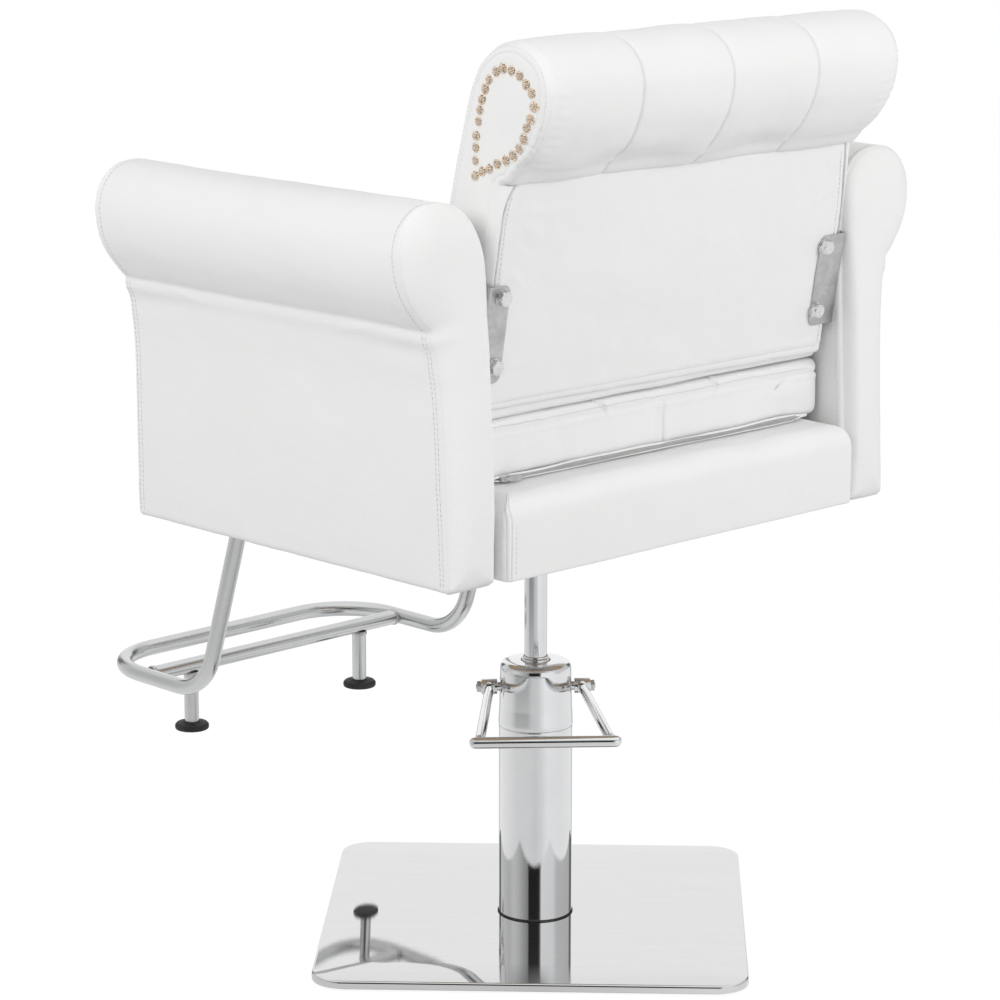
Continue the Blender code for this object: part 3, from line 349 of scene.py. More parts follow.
def fill_mesh(name, shape, weld=None):
    points, faces = shape
    mesh = bpy.data.meshes.new(name)
    mesh.from_pydata([tuple(p) for p in np.asarray(points, float)], [],
                     [tuple(int(i) for i in face) for face in faces])
    bm = bmesh.new()
    bm.from_mesh(mesh)
    if weld:
        bmesh.ops.remove_doubles(bm, verts=bm.verts, dist=weld)
        bmesh.ops.dissolve_degenerate(bm, edges=bm.edges, dist=1e-7)
    bmesh.ops.recalc_face_normals(bm, faces=bm.faces)
    bm.to_mesh(mesh)
    bm.free()
    return mesh


def dress(name, mesh, material, body="seat", slot="upholstery", sharp=None, replaces=None):
    """Adds a mesh as a smooth object on a moving body; sharp is an edge angle in degrees."""
    mesh.shade_smooth()
    if sharp:
        mesh.set_sharp_from_angle(angle=radians(sharp))
    mesh.materials.append(material)
    ob = add_object(name, mesh)
    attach(ob, body)
    if replaces:
        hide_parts(replaces)
    return ob


def piece(name, shape, material, weld=None, **roles):
    return dress(name, fill_mesh(name, shape, weld), material, **roles)


def evaluated_copy(ob, name):
    graph = bpy.context.evaluated_depsgraph_get()
    mesh = bpy.data.meshes.new_from_object(ob.evaluated_get(graph), depsgraph=graph)
    mesh.name = name
    return mesh


def drop(ob):
    mesh = ob.data
    bpy.data.objects.remove(ob, do_unlink=True)
    if mesh.users == 0:
        bpy.data.meshes.remove(mesh)


def coords(mesh):
    flat = np.zeros(len(mesh.vertices) * 3, np.float32)
    mesh.vertices.foreach_get("co", flat)
    return flat.reshape(-1, 3).astype(float)


def tree_of(ob):
    mesh = ob.data
    return BVHTree.FromPolygons([v.co[:] for v in mesh.vertices],
                                [p.vertices[:] for p in mesh.polygons])


# ------------------------------------------------------------------ points and rings
def xyz(x, y, z):
    """Points from coordinates of any shapes that broadcast together."""
    return np.stack(np.broadcast_arrays(x, y, z), -1)


def angles(count):
    return 2 * np.pi * np.arange(count) / count


def circle(centre, side, up, radius, angle):
    """Points round a centre in the plane of two directions."""
    return (centre + side * (radius * np.cos(angle))[:, None]
            + up * (radius * np.sin(angle))[:, None])


def unit(vector):
    return vector / np.linalg.norm(vector)


BOTH = (0, -1)


def grid(rows, ends=()):
    """A shape from rows of points closed round on themselves; the rows in ends are filled."""
    rows = np.asarray(rows)
    count, cols = rows.shape[:2]
    here = np.arange(cols)
    after = (here + 1) % cols
    faces = []
    for start in range(0, (count - 1) * cols, cols):
        above = start + cols
        faces += list(zip(start + here, start + after, above + after, above + here))
    for row in ends:
        start = row % count * cols
        faces.append(tuple(range(start, start + cols)))
    return rows.reshape(-1, 3), faces


def lengths(points):
    """The length along a line at each of its points."""
    return np.concatenate([[0], np.cumsum(np.linalg.norm(np.diff(points, axis=0), axis=1))])


def curve(points, step):
    """An open smooth line through points, sampled about every step."""
    P = np.asarray(points, float)
    if len(P) == 2:
        count = max(1, int(ceil(np.linalg.norm(P[1] - P[0]) / step)))
        return P[0] + (P[1] - P[0]) * np.linspace(0, 1, count + 1)[:, None]
    padded = np.vstack([2 * P[0] - P[1], P, 2 * P[-1] - P[-2]])
    fine = []
    t = np.linspace(0, 1, 24, endpoint=False)[:, None]
    for i in range(1, len(padded) - 2):
        p0, p1, p2, p3 = padded[i - 1:i + 3]
        fine.append(0.5 * (2 * p1 + (p2 - p0) * t + (2 * p0 - 5 * p1 + 4 * p2 - p3) * t ** 2
                           + (3 * p1 - p0 - 3 * p2 + p3) * t ** 3))
    fine = np.vstack(fine + [P[-1:]])
    run = lengths(fine)
    count = max(1, int(round(run[-1] / step)))
    at = np.linspace(0, run[-1], count + 1)
    return np.stack([np.interp(at, run, fine[:, k]) for k in range(P.shape[1])], 1)


def outline(runs, step):
    """A closed outline from runs that meet end to end.

    Returns points, the run each belongs to, the length so far and the whole length.
    """
    points, tag = [], []
    for k, run in enumerate(runs):
        line = curve(run, step[k] if np.ndim(step) else step)[:-1]
        points.append(line)
        tag += [k] * len(line)
    points = np.vstack(points)
    gaps = np.linalg.norm(np.roll(points, -1, 0) - points, axis=1)
    return points, np.array(tag), np.concatenate([[0], np.cumsum(gaps)[:-1]]), gaps.sum()


def outward(points):
    """The outward normal at each point of a closed outline."""
    after = np.roll(points, -1, 0)
    along = after - np.roll(points, 1, 0)
    along /= np.linalg.norm(along, axis=1)[:, None]
    normal = np.stack([along[:, 1], -along[:, 0]], 1)
    area = np.sum(points[:, 0] * after[:, 1] - after[:, 0] * points[:, 1])
    return normal if area > 0 else -normal


def arc(cx, cy, radius, start, stop, steps=4):
    turns = [radians(start + (stop - start) * i / steps) for i in range(steps + 1)]
    return [(cx + radius * cos(turn), cy + radius * sin(turn)) for turn in turns]


def box_corners(x0, x1, y0, y1, radius):
    """Corner arcs of a rounded rectangle: centre x, centre y, radius, start angle."""
    return [(x1 - radius, y1 - radius, radius, 0), (x0 + radius, y1 - radius, radius, 90),
            (x0 + radius, y0 + radius, radius, 180), (x1 - radius, y0 + radius, radius, 270)]


def corner_arcs(corners, steps):
    return [arc(*corner, corner[3] + 90, steps) for corner in corners]


def joined(arcs):
    """Outline runs: each corner arc, then the straight to the next."""
    runs = []
    for i, bend in enumerate(arcs):
        runs += [bend, [bend[-1], arcs[(i + 1) % 4][0]]]
    return runs


def edge_distance(points, loop):
    """Distance from points to a closed outline, and the index of the nearest segment."""
    span = np.roll(loop, -1, 0) - loop
    square = np.maximum((span ** 2).sum(1), 1e-18)
    best, index = np.full(len(points), 1e9), np.zeros(len(points), int)
    for s in range(0, len(points), 2000):
        some = points[s:s + 2000]
        t = np.clip(((some[:, None] - loop[None]) * span[None]).sum(2) / square[None], 0, 1)
        near = loop[None] + span[None] * t[..., None]
        dist = np.linalg.norm(some[:, None] - near, axis=2)
        k = dist.argmin(1)
        index[s:s + 2000] = k
        best[s:s + 2000] = dist[np.arange(len(some)), k]
    return best, index


def inside(points, loop):
    x, y = points[:, 0], points[:, 1]
    result = np.zeros(len(points), bool)
    for (x1, y1), (x2, y2) in zip(loop, np.roll(loop, -1, 0)):
        if y1 != y2:
            result ^= ((y1 > y) != (y2 > y)) & (x < (x2 - x1) * (y - y1) / (y2 - y1) + x1)
    return result


def triangulated(points, edges, faces, kind, tolerance):
    found, _, triangles, *_ = delaunay_2d_cdt([Vector(p) for p in points], edges, faces, kind,
                                              tolerance, False)
    flat = np.array([(p.x, p.y) for p in found])
    return flat, triangles, np.array([flat[list(face)].mean(0) for face in triangles])


def sheet(loop, height, place, step=0.004,
          insets=(0.0007, 0.0015, 0.0026, 0.004, 0.0057, 0.0077, 0.01)):
    """A filled panel inside a closed outline.

    height(edge distance, nearest edge, points) gives heights; place(points, heights) sets them.
    """
    inward = -outward(loop)
    rings = [loop]
    for inset in insets:
        ring = loop + inward * inset
        dist, _ = edge_distance(ring, loop)
        rings.append(ring[(dist > inset * 0.9) & inside(ring, loop)])
    (x0, y0), (x1, y1) = loop.min(0), loop.max(0)
    x, y = np.meshgrid(np.arange(x0, x1, step), np.arange(y0, y1, step * 0.866))
    x[1::2] += step / 2
    field = np.stack([x.ravel(), y.ravel()], 1)
    field = field[inside(field, loop)]
    dist, _ = edge_distance(field, loop)
    rings.append(field[dist > insets[-1] + step * 0.45])
    flat, faces, middles = triangulated(np.vstack(rings), [], [list(range(len(loop)))], 1, 1e-7)
    faces = [face for face, keep in zip(faces, inside(middles, loop)) if keep]
    dist, nearest = edge_distance(flat, loop)
    dist[dist < 2e-6] = 0
    return place(flat, height(dist, nearest, flat)), faces


# ------------------------------------------------------------------ surface relief
def wavy(points, seed, scale, octaves=2):
    """Smooth pseudo-random height from -1 to 1, the same each run."""
    rng = np.random.RandomState(seed)
    points = np.asarray(points, float)
    total, weight, norm = np.zeros(points.shape[:-1]), 1.0, 0.0
    for octave in range(octaves):
        for _ in range(6):
            way = rng.normal(size=points.shape[-1])
            way /= np.linalg.norm(way)
            total += weight * np.sin(2 * np.pi * (points @ way) / (scale / 2 ** octave)
                                     * rng.uniform(0.75, 1.3) + rng.uniform(0, 6.28))
        norm += weight * 2.4
        weight *= 0.5
    return total / norm


def bell(x, width):
    return np.exp(-(x / width) ** 2)


def step_up(x, start, stop):
    t = np.clip((x - start) / (stop - start), 0, 1)
    return t * t * (3 - 2 * t)


def ridge(x, y, x0, y0, x1, y1, width, height):
    """A soft ridge from (x0, y0) to (x1, y1) in surface coordinates, tapering at its ends."""
    dx, dy = x1 - x0, y1 - y0
    length = hypot(dx, dy)
    t = ((x - x0) * dx + (y - y0) * dy) / length ** 2
    off = ((x - x0) * dy - (y - y0) * dx) / length
    taper = np.clip(np.sin(np.pi * np.clip(t, 0, 1)), 0, 1) ** 0.8
    return height * bell(off, width) * taper


def ridges(x, y, folds):
    """The sum of ridges; folds are (x0, y0, x1, y1, width, height)."""
    return sum(ridge(x, y, *fold) for fold in folds)


def rows_between(start, stop, fine_at, fine=0.0007, coarse=0.004):
    """Positions from start to stop, closer together near each place in fine_at."""
    out, x = [start], start
    while x < stop - 1e-6:
        near = min(abs(x - place) for place in fine_at)
        x += min(coarse, max(fine, fine + near * 0.22))
        out.append(min(x, stop))
    if out[-1] - out[-2] < fine * 0.5:
        out.pop(-2)
    return np.array(out)


STITCH, STITCH_GAP = 0.0036, 0.0016


def stitch_shape(sides=6):
    """One unit stitch along x: two points joined by three rings."""
    points = [(-0.5, 0, 0)]
    for x, radius in ((-0.42, 0.7), (0, 1), (0.42, 0.7)):
        points += [(x, radius * cos(t), radius * sin(t)) for t in angles(sides)]
    points.append((0.5, 0, 0))
    faces = []
    for j in range(sides):
        k = (j + 1) % sides
        faces.append((0, 1 + k, 1 + j))
        for ring in (1, 1 + sides):
            faces.append((ring + j, ring + k, ring + sides + k, ring + sides + j))
        faces.append((1 + 2 * sides + j, 1 + 2 * sides + k, len(points) - 1))
    return np.array(points), faces


def stitches(name, paths, surface, radius=0.00042, proud=0.00022):
    """Separate short thread stitches laid along paths on a surface."""
    tree = tree_of(surface)
    unit_points, faces = stitch_shape()
    along, across, above = unit_points[:, :1], unit_points[:, 1:2], unit_points[:, 2:]
    shapes = []
    for path in paths:
        run = lengths(path)
        for start in np.arange(STITCH_GAP, run[-1] - STITCH, STITCH + STITCH_GAP):
            first, middle, last = [
                np.array([np.interp(start + part, run, path[:, k]) for k in range(3)])
                for part in (0, STITCH / 2, STITCH)]
            foot, normal, _, _ = tree.find_nearest(Vector(middle))
            normal = np.array(normal)
            way = last - first
            way -= normal * (way @ normal)
            way /= max(np.linalg.norm(way), 1e-9)
            side = np.cross(normal, way)
            shapes.append((np.array(foot) + normal * proud + along * way * STITCH
                           + across * side * radius + above * normal * radius * 0.8, faces))
    piece(name, merge(shapes), THREAD)


# ------------------------------------------------------------------ turned and bent shapes
def lathe(profile, count=96, centre=(0, 0), axis="Z", closed=False):
    """A (radius, height) line turned about an axis; a closed one is joined end to start."""
    turn = angles(count)
    rows = []
    for radius, height in profile:
        radius = radius if closed else max(radius, 1e-6)
        first, second = centre[0] + radius * np.cos(turn), centre[1] + radius * np.sin(turn)
        rows.append(xyz(first, second, height) if axis == "Z" else xyz(height, first, second))
    if closed:
        rows.append(rows[0])
    return grid(rows)


def soften(profile, radius, steps=4):
    """Rounds the corners of an open (radius, height) line."""
    P = [np.array(p, float) for p in profile]
    out = [P[0]]
    t = np.arange(steps + 1)[:, None] / steps
    for before, corner, after in zip(P, P[1:], P[2:]):
        back, ahead = before - corner, after - corner
        near, far = np.linalg.norm(back), np.linalg.norm(ahead)
        cut = min(radius, near * 0.45, far * 0.45)
        start, stop = corner + back / near * cut, corner + ahead / far * cut
        out += list((1 - t) ** 2 * start + 2 * t * (1 - t) * corner + t * t * stop)
    out.append(P[-1])
    return out


def pipe_rows(path, radius, count):
    """The directions along a path, and the rings of points round it."""
    path = np.asarray(path, float)
    along = np.gradient(path, axis=0)
    along /= np.linalg.norm(along, axis=1)[:, None]
    up = np.array([0, 0, 1.0]) if abs(along[0][2]) < 0.9 else np.array([1.0, 0, 0])
    rows = []
    for point, way in zip(path, along):
        up = unit(up - way * (up @ way))
        rows.append(circle(point, up, np.cross(way, up), radius, angles(count)))
    return along, rows


def pipe(path, radius, count, dome=0.0):
    """A round bar along a path; dome is how far its ends bulge."""
    path = np.asarray(path, float)
    along, rows = pipe_rows(path, radius, count)
    head, tail = [], []
    for part in (0.9, 0.7, 0.4, 1e-4):
        bulge = sqrt(1 - part * part) * dome
        head.append(path[0] - along[0] * bulge + (rows[0] - path[0]) * part)
        tail.append(path[-1] + along[-1] * bulge + (rows[-1] - path[-1]) * part)
    return grid(head[::-1] + rows + tail)


def bent(corners, steps, straight):
    """Straight runs joined by round bends; corners are (point, bend radius)."""
    C = [(np.array(p, float), radius) for p, radius in corners]
    points = [C[0][0]]
    for (before, _), (corner, radius), (after, _) in zip(C, C[1:], C[2:]):
        back, ahead = unit(before - corner), unit(after - corner)
        half = acos(np.clip(back @ ahead, -1, 1)) / 2
        cut = radius / tan(half)
        centre = corner + unit(back + ahead) * (radius / sin(half))
        start, stop = corner + back * cut - centre, corner + ahead * cut - centre
        turn = acos(np.clip(start @ stop / (radius * radius), -1, 1))
        for k in range(steps + 1):
            t = k / steps
            points.append(centre + (start * sin((1 - t) * turn) + stop * sin(t * turn))
                          / sin(turn))
    points.append(C[-1][0])
    out = [points[0]]
    for point in points[1:]:
        start = out[-1]
        count = max(1, int(np.linalg.norm(point - start) / straight))
        out += [start + (point - start) * k / count for k in range(1, count + 1)]
    return np.array(out)


def plate_solid(loop, low, high, place, bevel=0.0004):
    """A flat plate between two depths, its edges slightly broken."""
    normal = outward(loop)
    levels = ((low, bevel), (low + bevel, 0), (high - bevel, 0), (high, bevel))
    return grid([place(loop - normal * inset, depth) for depth, inset in levels], ends=BOTH)


def weld_bead(centre, axis, radius, width, seed):
    """A ring of overlapping weld ripples round a bar."""
    centre, axis = np.array(centre, float), np.array(axis, float)
    side = unit(np.cross(axis, (0.3, 0.5, 0.8)))
    up = np.cross(axis, side)
    turn = angles(72)
    ripple = 0.00035 * np.abs(np.sin(turn * 9 + seed)) + 0.00015 * np.sin(turn * 4 + seed * 2)
    rows = [circle(centre + axis * (width / 2 * cos(t)), side, up,
                   radius + (0.0012 + ripple) * sin(t), turn) for t in angles(10)]
    return grid(rows + rows[:1])


HEX_COUNT = 48


def hex_head(across, height):
    """Rows of (radii, height) for a hex head with a washer face and chamfer."""
    flat = across / 2
    part = (np.arange(HEX_COUNT) * 6 / HEX_COUNT) % 1.0
    hexagon = flat / np.cos(np.pi / 3 * part - np.pi / 6)
    disc = np.full(HEX_COUNT, flat * 1.03)
    centre = np.full(HEX_COUNT, 1e-6)
    rows = [(centre, 0), (disc * 0.97, 0), (disc * 0.97, 0.0005), (hexagon, 0.0005),
            (hexagon, height * 0.78)]
    rows += [(np.minimum(hexagon, flat * (1.155 - 0.16 * t)), height * (0.78 + 0.22 * t))
             for t in (0.4, 0.75, 1.0)]
    return rows + [(disc * 0.8, height), (disc * 0.74, height - 0.0003),
                   (centre, height - 0.0003)]


# ------------------------------------------------------------------ arms
ARM_LO, ARM_HI = box("arm_pad_left")
ARM_INNER, ARM_FRONT, ARM_BASE = ARM_LO
ARM_WIDTH = 0.066
ARM_REAR = ARM_HI[1] - 0.008
# The roll, from the crease on the outer side over to the inner face:
# (out from the inner face, up from the underside).
ARM_ROLL = [
    (0.0779, 0.271), (0.0862, 0.279), (0.095, 0.2895), (0.1045, 0.303), (0.1115, 0.318),
    (0.1158, 0.336), (0.116, 0.356), (0.11, 0.374), (0.0985, 0.388), (0.084, 0.396),
    (0.065, 0.3985), (0.047, 0.3968), (0.032, 0.391), (0.02, 0.382), (0.011, 0.371),
    (0.0048, 0.358), (0.0014, 0.344), (0, 0.328), (0, 0.31)]
# The outer side's upper part, up to the crease.
ARM_FLARE = [(0.066, 0.15), (0.066, 0.164), (0.0663, 0.18), (0.0675, 0.206), (0.07, 0.227),
             (0.0732, 0.248), (0.0779, 0.271)]
# Folds as for ridges(): x is the length from the crease, y the distance from the arm's end.
ROLL_FOLDS = [
    (0.003, 0.011, 0.026, 0.02, 0.0016, 0.0011), (0.002, 0.016, 0.02, 0.031, 0.0018, 0.001),
    (0.006, 0.02, 0.036, 0.029, 0.0021, -0.0008), (0.014, 0.012, 0.04, 0.016, 0.0016, 0.0008),
    (0.001, 0.026, 0.014, 0.052, 0.0022, 0.0009)]
SIDE_FOLDS = [
    (0.004, 0.014, 0.03, 0.016, 0.0018, 0.0007), (0.003, 0.026, 0.04, 0.04, 0.003, -0.0007),
    (0.002, 0.07, 0.016, 0.15, 0.004, 0.001)]


def arm_rear(z):
    return ARM_REAR - 0.0437 * (z - ARM_BASE - 0.006)


def arm_runs():
    """0 roll, 1 inner face, 2 to 4 underside, 5 and 6 outer side."""
    def at(points):
        return [(ARM_INNER + out, ARM_BASE + up) for out, up in points]

    return [at(ARM_ROLL), at([(0, 0.31), (0, 0.007)]),
            arc(ARM_INNER + 0.007, ARM_BASE + 0.007, 0.007, 180, 270),
            at([(0.007, 0), (0.059, 0)]),
            arc(ARM_INNER + 0.059, ARM_BASE + 0.007, 0.007, 270, 360),
            at([(ARM_WIDTH, 0.007), (ARM_WIDTH, 0.15)]), at(ARM_FLARE)]


def make_arm(side, sign):
    seed = 11 if sign > 0 else 12
    points, tag, along, total = outline(arm_runs(), 0.003)
    normal, height = outward(points), points[:, 1]
    depth = arm_rear(height) - ARM_FRONT
    mean = depth.mean()
    fine_at = [0, 0.006, 0.01, mean, mean - 0.006, mean - 0.01]
    part = (rows_between(0, mean, fine_at) / mean)[:, None]    # 0 at the front, 1 at the rear
    below = total - along                                      # length below the crease
    roll, inner, outer, lined = tag == 0, tag == 1, tag >= 5, tag <= 1
    bulge = inner * step_up(height, ARM_BASE + 0.01, ARM_BASE + 0.11)
    lift = np.zeros((len(part), len(points)))
    for edge in ((1 - part) * depth, part * depth):
        # end seam, its shoulder and the sewn lines
        lift -= 0.0024 * bell(edge, 0.0019)
        lift += 0.0004 * bell(edge - 0.0045, 0.0025)
        lift -= 0.0006 * bell(edge - 0.0095, 0.0014) * lined
        lift += 0.0016 * bell(edge - 0.0085, 0.0065) * bulge
        lift -= 0.0005 * (bell(edge - 0.0055, 0.0012) + bell(edge - 0.0105, 0.0012)) * outer
        # fullness just below the crease, then a hollow
        lift += 0.0020 * bell(below - 0.01, 0.0075) * outer * (
            0.35 + 0.65 * bell(edge - 0.03, 0.055))
        lift -= 0.0012 * bell(below - 0.026, 0.01) * outer * bell(edge - 0.045, 0.05)
        lift += ridges(along, edge, ROLL_FOLDS) * roll
        lift += ridges(below, edge, SIDE_FOLDS) * outer
    rise = np.clip((height - ARM_BASE) / 0.271, 0, 1)
    lift += 0.0016 * np.sin(np.pi * part) * np.sin(np.pi * rise) * (outer + inner * 0.3)
    P = xyz(points[:, 0], ARM_FRONT + part * depth, height)
    soft = step_up(height, ARM_BASE + 0.006, ARM_BASE + 0.03)
    lift += soft * (0.0007 * wavy(P, seed, 0.21) + 0.00025 * wavy(P, seed + 5, 0.05))
    lift -= (1 - soft) * 0.0006 * (1 + wavy(P, seed + 9, 0.07)) * 0.5
    P[..., 0] += normal[:, 0] * lift
    P[..., 2] += normal[:, 1] * lift
    P[..., 1] = ARM_FRONT + part * (arm_rear(P[..., 2]) - ARM_FRONT)
    P[..., 0] *= sign

    def puff(dist, nearest, q):
        """The domed end panels."""
        high = step_up(q[:, 1], ARM_BASE + 0.2, ARM_BASE + 0.315)
        across = (q[:, 0] - ARM_INNER) / ARM_WIDTH
        tall = (0.0104 + 0.0018 * step_up(q[:, 1], ARM_BASE, ARM_BASE + 0.08) + 0.0018 * high
                + 0.0032 * (1 - step_up(across, 0.3, 0.8))
                * step_up(q[:, 1], ARM_BASE + 0.01, ARM_BASE + 0.11))
        reach = 0.012 + (0.0195 + 0.0215 * high) * np.maximum(
            step_up(across, 0.15, 0.6), high * step_up(across, -0.05, 0.45))
        s = np.clip(dist / reach, 0, 1)
        dome = tall * (1 - (1 - s) ** 2.4) ** 0.86
        dome += 0.0006 * wavy(q, seed + 3, 0.13) * s
        return dome - step_up(ARM_BASE + 0.035 - q[:, 1], 0, 0.03) * 0.0020 * s

    rear = sheet(P[-1][:, [0, 2]] * (sign, 1), puff,
                 lambda q, h: xyz(sign * q[:, 0], arm_rear(q[:, 1]) + h, q[:, 1]))
    front = sheet(P[0][:, [0, 2]] * (sign, 1), puff,
                  lambda q, h: xyz(sign * q[:, 0], ARM_FRONT - h, q[:, 1]))
    ob = piece(f"arm_upholstery_{side}", merge([grid(P), rear, front]), LEATHER, weld=3e-5,
               replaces=f"arm_pad_{side}")
    paths = []
    for where, inset in ((lined, 0.0095), (outer, 0.0055), (outer, 0.0105)):
        x, z = points[where].T
        paths += [xyz(sign * x, arm_rear(z) - inset, z), xyz(sign * x, ARM_FRONT + inset, z)]
    stitches(f"arm_stitching_{side}", paths, ob)


for side, sign in SIDES:
    make_arm(side, sign)


# ------------------------------------------------------------------ back
BACK_LO, BACK_HI = box("back_pad")
BACK_HALF = BACK_HI[0]
RIM = 0.008
BACK_FRONT, BACK_TOP = BACK_LO[1], BACK_HI[2]
LEAN = atan(0.171)
LEAN_SIN, LEAN_COS = sin(LEAN), cos(LEAN)
PLANE_Y, PLANE_Z = BACK_FRONT + 0.1123, BACK_TOP - 0.2632    # a point on the leaning rear plane
SEAMS = (-0.133, 0.0, 0.133)                                 # channel seams across the back


def on_back(x, depth, up):
    """Points from the rear plane: depth out behind it, up along its slope."""
    return xyz(x, PLANE_Y + depth * LEAN_COS + up * LEAN_SIN,
               PLANE_Z - depth * LEAN_SIN + up * LEAN_COS)


# The front and top roll, from the bottom up and over to the rear:
# (behind the front, above the top).
BACK_LINE = [
    (0, -0.376), (0.008, -0.344), (0.022, -0.274), (0.037, -0.204), (0.048, -0.159),
    (0.06, -0.114), (0.07, -0.0745), (0.0795, -0.047), (0.093, -0.023), (0.115, -0.006),
    (0.142, 0), (0.168, -0.007), (0.1855, -0.021), (0.1945, -0.041), (0.195, -0.06),
    (0.191, -0.079), (0.183, -0.096), (0.1695, -0.1155), (0.148, -0.1345)]
PANEL_LO, PANEL_HI = box("back_panel")
PANEL_BASE = (PANEL_LO[2] + 0.0002 - PLANE_Z) / LEAN_COS
PANEL_TOP = (PANEL_HI[2] - 0.0009 - PLANE_Z) / LEAN_COS
BODY_DEPTH = -0.0061


def back_runs():
    """0 front and roll, 1 under the roll, 2 behind the panel, 3 bottom."""
    line = [(BACK_FRONT + y, BACK_TOP + z) for y, z in BACK_LINE]
    neck = tuple(on_back(0.0, BODY_DEPTH, PANEL_TOP - 0.003)[1:])
    low = tuple(on_back(0.0, BODY_DEPTH, PANEL_BASE - 0.0045)[1:])
    base = on_back(0.0, BODY_DEPTH, PANEL_BASE - 0.0118)[2]
    bottom = [low, (low[0] - 0.0009, base + 0.003), (low[0] - 0.0032, base + 0.0008),
              (low[0] - 0.0095, base), (BACK_FRONT + 0.04, base - 0.0005),
              (BACK_FRONT + 0.01, base + 0.002), (BACK_FRONT + 0.001, BACK_TOP - 0.385),
              (BACK_FRONT, BACK_TOP - 0.376)]
    under = [line[-1], (BACK_FRONT + 0.137, BACK_TOP - 0.145), neck]
    return [line, under, [neck, low], bottom]


def make_back():
    points, tag, along, _ = outline(back_runs(), 0.003)
    normal = outward(points)
    half = BACK_HALF - RIM
    x = rows_between(-half, half, [-half, half, *SEAMS], 0.0008, 0.004)[:, None]
    end = along[tag == 0].max()                  # where the roll ends, under the rear
    channel = (tag == 0) * step_up(end - along, 0.0, 0.008) * step_up(along, 0.0, 0.02)
    seen = tag != 2
    lift = np.zeros((len(x), len(points)))
    for i, seam in enumerate(SEAMS):
        dist = np.abs(x - seam)
        lift -= (channel + (tag == 1)) * (0.0027 * bell(dist, 0.0012)
                                          + 0.0006 * bell(dist, 0.009))
        for j in range(26):
            start = 0.03 + j * (end - 0.05) / 26 + 0.006 * sin(j * 7.3 + i * 2.1)
            turn = 1 if (j + i) % 2 else -1
            reach = 0.012 + 0.008 * sin(j * 3.7 + i)
            lift += channel * ridge(along, (x - seam) * turn, start, 0.002,
                                    start + 0.004 * sin(j * 5.1), reach, 0.0022, 0.0004)
    edges = [-half, *SEAMS, half]
    for left, right in zip(edges[:-1], edges[1:]):
        part = np.clip((x - left) / (right - left), 0, 1)
        lift += channel * 0.0009 * (1 - (2 * part - 1) ** 4) * ((x >= left) & (x < right))
    for edge in (half - x, x + half):
        lift -= 0.0020 * bell(edge, 0.0018) * seen
        lift -= 0.0014 * bell(edge, 0.012) * channel * 0.5
        # gathers where the roll's leather is pulled in under the rim, low at the rear
        for j in range(9):
            start = end - 0.012 - 0.011 * j
            lift += ridge(along, edge, start, 0.002, start + 0.004,
                          0.024 + 0.007 * sin(j * 2.3), 0.0024, 0.001) * channel
    P = xyz(x, points[:, 0], points[:, 1])
    lift += seen * (0.0007 * wavy(P, 31, 0.19) + 0.00035 * wavy(P, 32, 0.055) * channel)
    lift += 0.0022 * wavy(P[..., :1], 33, 0.22) * bell(along - end, 0.02)
    P[..., 1] += normal[:, 0] * lift
    P[..., 2] += normal[:, 1] * lift
    P[..., 2] -= 0.0071 * P[..., 0] * step_up(-P[..., 2], -(PLANE_Z - 0.105),
                                              -(PLANE_Z - 0.122))

    def rim(dist, nearest, q):
        """The rounded, gathered edge of each end panel."""
        s = np.clip(dist / RIM, 0, 1)
        tall = RIM * (1 - (1 - s) ** 2.2) ** 0.62
        tall -= 0.0013 * bell(dist - RIM - 0.0008, 0.0011)
        tall += 0.0016 * (1 - np.exp(-np.maximum(dist - RIM, 0) / 0.018))
        place = along[nearest]
        tall += (0.0009 * np.cos(place * 2 * np.pi / 0.0078) * bell(place - end + 0.02, 0.055)
                 * bell(dist - 0.0055, 0.006))
        for j in range(6):
            start = end - 0.01 - 0.014 * j
            tall += ridge(place, dist, start, 0.006, start - 0.004,
                          0.03 + 0.006 * sin(j * 1.9), 0.0026, 0.0007)
        return tall + 0.0005 * wavy(q, 35, 0.10) * np.clip(dist / 0.02, 0, 1)

    caps = [sheet(row[:, 1:], rim,
                  lambda q, h, sign=sign: xyz(sign * (half + h), q[:, 0], q[:, 1]),
                  insets=(0.0007, 0.0015, 0.0025, 0.0037, 0.005, 0.0064, 0.0077, 0.0088,
                          0.0099, 0.0115))
            for sign, row in ((1, P[-1]), (-1, P[0]))]
    ob = piece("back_upholstery", merge([grid(P)] + caps), LEATHER, weld=3e-5,
               replaces="back_pad")
    sewn = (tag == 0) & (along > 0.02)
    inset = points[sewn] - normal[sewn] * 0.0025
    # The normals of the sewn stretch are those of the whole outline, picked out at its points.
    inset = points[sewn] - outward(points)[sewn] * 0.0025
    stitches("back_rim_stitching",
             [xyz(sign * (half + RIM + 0.001), inset[:, 0], inset[:, 1]) for sign in (1, -1)],
             ob, radius=0.00034, proud=0.00005)
    return ob


BACK = make_back()


# ------------------------------------------------------------------ outside back panel
# Each edge's narrowing towards the roll: amount, height it starts at, run, power.
PANEL_TAPER = {1: (0.0108, 0.08, 0.0364, 2.2), -1: (0.0098, 0.02, 0.094, 1.6)}
